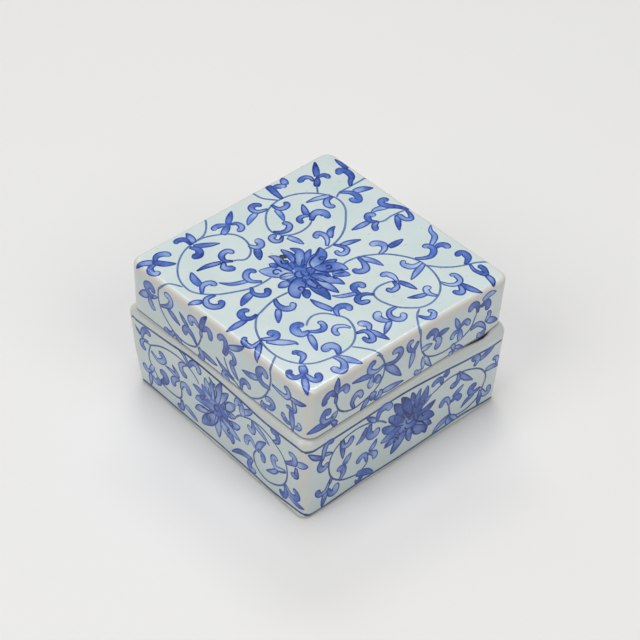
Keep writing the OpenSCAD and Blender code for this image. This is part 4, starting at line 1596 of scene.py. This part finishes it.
def painted_material(name, tones, fine_tones):
    """Paint under the same glaze, mottled and soft at its edge. The fine lines have their own
    tones."""
    material = bpy.data.materials.new(name)
    nodes = Nodes(material)
    ink = nodes.attribute("cobalt")
    mottle = nodes.noise(size=1.6, detail=4, roughness=0.65)
    mottle = nodes.spread(mottle, 0.3, 0.7, to_low=-0.1, to_high=0.1)
    pooling = nodes.spread(nodes.noise(size=14, detail=2), 0.3, 0.7, to_low=-0.07, to_high=0.07)
    depth = nodes.math("ADD", ink, nodes.math("ADD", mottle, pooling))
    fine = nodes.attribute("fine")
    colour = nodes.mix(fine, nodes.ramp(depth, tones), nodes.ramp(depth, fine_tones))
    cover = nodes.spread(ink, 0.02, 0.7)
    # The paint takes the same painted shade on the upright walls
    nodes.colour(nodes.with_painted_wall_shade(nodes.mix(cover, glaze_colour(nodes), colour)))
    nodes.roughness(glaze_surface(nodes))
    return material


def paste_material():
    """Cinnabar worked up with oil and plant floss: deep red, oily, with fine fibres."""
    material = bpy.data.materials.new("cinnabar_paste")
    nodes = Nodes(material)
    lumps = nodes.spread(nodes.noise(size=5, detail=4), 0.35, 0.65)
    fibres = nodes.noise(size=0.5, roughness=0.6, stretch=(1, 0.18, 0.5))
    tone = nodes.mix(lumps, CINNABAR_DARK, CINNABAR)
    tone = nodes.mix(nodes.spread(fibres, 0.55, 0.75, to_high=0.7), tone, CINNABAR_LIGHT)
    nodes.colour(tone)
    nodes.roughness(nodes.spread(nodes.noise(size=3), 0.3, 0.7, to_low=0.28, to_high=0.55))
    nodes.bump(fibres, strength=0.5, distance=0.35)
    return material


def floor_material():
    """A matt white floor, a little uneven in tone."""
    material = bpy.data.materials.new("floor")
    nodes = Nodes(material)
    nodes.colour(nodes.mix(nodes.spread(nodes.noise(size=300, detail=1), 0.3, 0.7), FLOOR, FLOOR_WARM))
    nodes.shader.inputs["Roughness"].default_value = 1
    nodes.shader.inputs["Specular IOR Level"].default_value = 0
    return material


# The porcelain

glaze = glaze_material()
cobalt = painted_material("cobalt_under_glaze", COBALT_TONES, STEM_TONES)
line_blue = painted_material("cobalt_line", LINE_TONES, LINE_TONES)
iron = painted_material("iron_speck", IRON_TONES, IRON_TONES)

base = vessel("porcelain_base", "box", base_rows(), (FOOT_BAND, SEAT_BAND), base_thin)
base.data.materials.append(glaze)
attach(base, "box")
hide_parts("base")

lid = vessel("porcelain_lid", "lid", lid_rows(), (RIM_BAND,), lid_thin)
lid.data.materials.append(glaze)
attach(lid, "lid")
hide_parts("lid")

# The painting

SIDE_NAMES = ("front", "right", "back", "left")
# Middle and radius of the wash under each flower
LID_TOP_GROUND = (-5.4, 0.8, 8.2)
BASE_LEFT_GROUND = (1.6, 21.6, 6.2)
BASE_RIGHT_GROUND = (1.2, 20.6, 6.4)
# How much darker the flower on the right wall is, the tones of the walls against that of the top,
# and the ink of their stems
RIGHT_FLOWER_DARKER = 0.12
BASE_STRENGTH = -0.02
BASE_STEM_INK = 0.93
LID_STRENGTH = -0.03
LID_STEM_INK = 0.9
EDGE_LINE_W = 0.8
# Distance once round the lid's wall, and the thin line above its rim
LID_ROUND = 8 * LID_REACH + 2 * math.pi * LID_CORNER_R
RIM_LINE_Z = SEAT_Z + 0.75
RIM_LINE_W = 0.3
RIM_LINE_BLEED = 0.16
RIM_LINE_STEPS = 24

top = Painting("scroll_on_top", "lid", on_lid_top, 1)
top.scroll(LID_TOP_STEMS, LID_TOP_LEAVES, LID_TOP_CURLS)
top.flower(LID_TOP_GROUND, LID_TOP_PETALS, LID_TOP_LINES, LID_TOP_EYES)
top.finish(cobalt)

lines = Painting("lines_on_base", "box", None, 40)
for side, name in enumerate(SIDE_NAMES):
    # The two hidden walls carry the drawings of the two that face the eye
    on_left = name in ("right", "left")
    traced = 3 if on_left else 0
    place = wall_place(side, "box", traced)
    wall = Painting(f"scroll_on_base_{name}", "box", place, 10 + side, BASE_STRENGTH, BASE_STEM_INK)
    if on_left:
        wall.scroll(BASE_LEFT_STEMS, BASE_LEFT_LEAVES, BASE_LEFT_CURLS)
        wall.flower(BASE_LEFT_GROUND, BASE_LEFT_PETALS, BASE_LEFT_LINES, BASE_LEFT_EYES)
    else:
        wall.scroll(BASE_RIGHT_STEMS, BASE_RIGHT_LEAVES, BASE_RIGHT_CURLS)
        wall.flower(BASE_RIGHT_GROUND, BASE_RIGHT_PETALS, BASE_RIGHT_LINES, BASE_RIGHT_EYES,
                    RIGHT_FLOWER_DARKER)
    wall.finish(cobalt)
    lines.place = place
    for points in EDGE_LINES[:2] if on_left else EDGE_LINES[2:]:
        lines.stem(points, EDGE_LINE_W)
    place = wall_place(side, "lid", traced)
    wall = Painting(f"scroll_on_lid_{name}", "lid", place, 20 + side, LID_STRENGTH, LID_STEM_INK)
    if on_left:
        wall.scroll(LID_LEFT_STEMS, LID_LEFT_LEAVES, LID_LEFT_CURLS)
    else:
        wall.scroll(LID_RIGHT_STEMS, LID_RIGHT_LEAVES, LID_RIGHT_CURLS)
    wall.finish(cobalt)
lines.finish(line_blue)

rim = Painting("line_on_rim", "lid", round_lid, 30)
around = [(LID_ROUND * step / RIM_LINE_STEPS, RIM_LINE_Z) for step in range(RIM_LINE_STEPS + 1)]
rim.stem(around, RIM_LINE_W, RIM_LINE_BLEED)
rim.finish(line_blue)

speck = Painting("kiln_speck", "lid", on_lid_top, 31)
speck.leaf(1.7, [(-6.4, 13.6), (-5.5, 12.8), (-4.3, 11.6)])
speck.leaf(1.0, [(-4.9, 13.4), (-5.3, 12.4), (-5.9, 11.7)])
speck.finish(iron)

# The seal paste

PASTE_FOOT_R = 3
PASTE_TOP_STEPS = 40
# The part of the cake under this height over the floor stays as it is
PASTE_STILL_H = 0.5
# Above this height over the floor the folds mostly sink, and below it they mostly draw in
PASTE_CROWN_H = 14
SINK_CROWN = 0.9
SINK_SIDE = 0.2
# Half width of the cake at which a fold draws in by its whole depth
PASTE_DRAW_HALF = 38


def kneaded(place):
    """How far the paste lies inside the smooth cake at a place, as a number up to 0. Each noise
    runs through so many waves to a millimetre: one swirls the others, which make soft folds,
    sharp ridges and a fine grain."""
    swirl = noise.noise(place * 0.11) * 4
    fold = noise.noise(Vector((place.x * 0.16 + swirl, place.y * 0.16, place.z * 0.2)))
    crest = noise.noise(Vector((place.x * 0.09, place.y * 0.3 + swirl, place.z * 0.2)))
    ridge = 1 - abs(crest) * 2
    fine = noise.fractal(place * 0.7, 1, 2, 4)
    return min(0, 0.9 * fold + 0.7 * ridge + 0.18 * fine - 1.9)


def paste_cake():
    """The kneaded cake: a domed lump with soft folds, inside the space of the part's own cake."""
    foot_r = PASTE_R - PASTE_FOOT_R
    top_r = PASTE_R - PASTE_EDGE_R
    top_z = FLOOR_Z + PASTE_H
    edge_z = top_z - PASTE_EDGE_R
    rows = disc(PASTE_REACH, foot_r, FLOOR_Z, True)
    rows += arc(PASTE_REACH, foot_r, FLOOR_Z + PASTE_FOOT_R, PASTE_FOOT_R, -90, 0, 6)
    rows += straight(rows[-1], (PASTE_REACH, PASTE_R, edge_z), 8)
    rows += arc(PASTE_REACH, top_r, edge_z, PASTE_EDGE_R, 0, 90, 14)
    shares = [1 - step / PASTE_TOP_STEPS for step in range(1, PASTE_TOP_STEPS)]
    rows += [(PASTE_REACH * share, top_r * share, top_z) for share in shares]
    cake = vessel("seal_paste_cake", "paste", rows)
    for vertex in cake.data.vertices:
        place = vertex.co / MM
        if place.z < FLOOR_Z + PASTE_STILL_H:
            continue
        upward = SINK_CROWN if place.z > FLOOR_Z + PASTE_CROWN_H else SINK_SIDE
        outward = Vector((place.x / PASTE_DRAW_HALF, place.y / PASTE_DRAW_HALF, upward))
        vertex.co = (place + outward * kneaded(place)) * MM
    return cake


cake = paste_cake()
cake.data.materials.append(paste_material())
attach(cake, "box")
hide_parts("seal_paste")

# Floor, light and camera, in metres but for the floor

FLOOR_HALF = 3000
floor_points = FLOOR_HALF * np.array([[-1, -1, 0], [1, -1, 0], [1, 1, 0], [-1, 1, 0]], float)
floor = new_object("floor", floor_points, [(0, 1, 2, 3)])
floor.data.materials.append(floor_material())


def softbox(name, place, target, width, height, power, tint=(1, 1, 1)):
    """An evenly bright rectangle, turned to its target."""
    lamp = bpy.data.lights.new(name, "AREA")
    lamp.shape = "RECTANGLE"
    lamp.size = width
    lamp.size_y = height
    lamp.energy = power
    lamp.color = tint
    thing = bpy.data.objects.new(name, lamp)
    thing.location = place
    direction = Vector(target) - Vector(place)
    thing.rotation_euler = direction.to_track_quat("-Z", "Y").to_euler()
    bpy.context.scene.collection.objects.link(thing)


COOL = (0.97, 0.985, 1)
ROOM_TINT = (0.98, 0.985, 1, 1)
ROOM_STRENGTH = 0.26

softbox("overhead", (0, 0.1, 1.6), (0, 0.1, 0), width=0.7, height=0.7, power=7.7)
softbox("window", (0.44, 0.98, 0.94), (0, 0, 0.05), width=0.3, height=0.5, power=0.6)
softbox("high_window", (0.615, 0.7, 1.18), (0, 0, 0.05), width=0.62, height=0.2, power=2.6)
softbox("left", (-1.06, 0, 1.06), (0, 0, 0), width=0.8, height=0.8, power=5.2, tint=COOL)
softbox("right", (0, -1.06, 1.06), (0, 0, 0), width=0.8, height=0.8, power=4.2, tint=COOL)

world = bpy.data.worlds.new("studio")
world.use_nodes = True
background = world.node_tree.nodes["Background"]
background.inputs["Color"].default_value = ROOM_TINT
background.inputs["Strength"].default_value = ROOM_STRENGTH
bpy.context.scene.world = world
bpy.context.scene.view_settings.view_transform = "Standard"


def aim_camera():
    """The eye stands along EYE, with the picture turned by the roll."""
    back = Vector(EYE)
    level = Vector((math.cos(CAMERA_AZIMUTH), math.sin(CAMERA_AZIMUTH), 0))
    above = back.cross(level)
    right = level * math.cos(CAMERA_ROLL) + above * math.sin(CAMERA_ROLL)
    up = above * math.cos(CAMERA_ROLL) - level * math.sin(CAMERA_ROLL)
    place = back * CAMERA_DISTANCE + Vector((0, 0, CAMERA_TARGET_Z))
    lens = bpy.data.cameras.new("camera")
    lens.lens = CAMERA_LENS
    lens.sensor_width = CAMERA_SENSOR
    lens.shift_x = SHIFT_RIGHT_PIXELS / FRAME_PIXELS
    lens.shift_y = SHIFT_UP_PIXELS / FRAME_PIXELS
    lens.clip_start = CAMERA_NEAR
    camera = bpy.data.objects.new("camera", lens)
    camera.matrix_world = Matrix.Translation(place) @ Matrix((right, up, back)).transposed().to_4x4()
    bpy.context.scene.collection.objects.link(camera)
    bpy.context.scene.camera = camera


aim_camera()
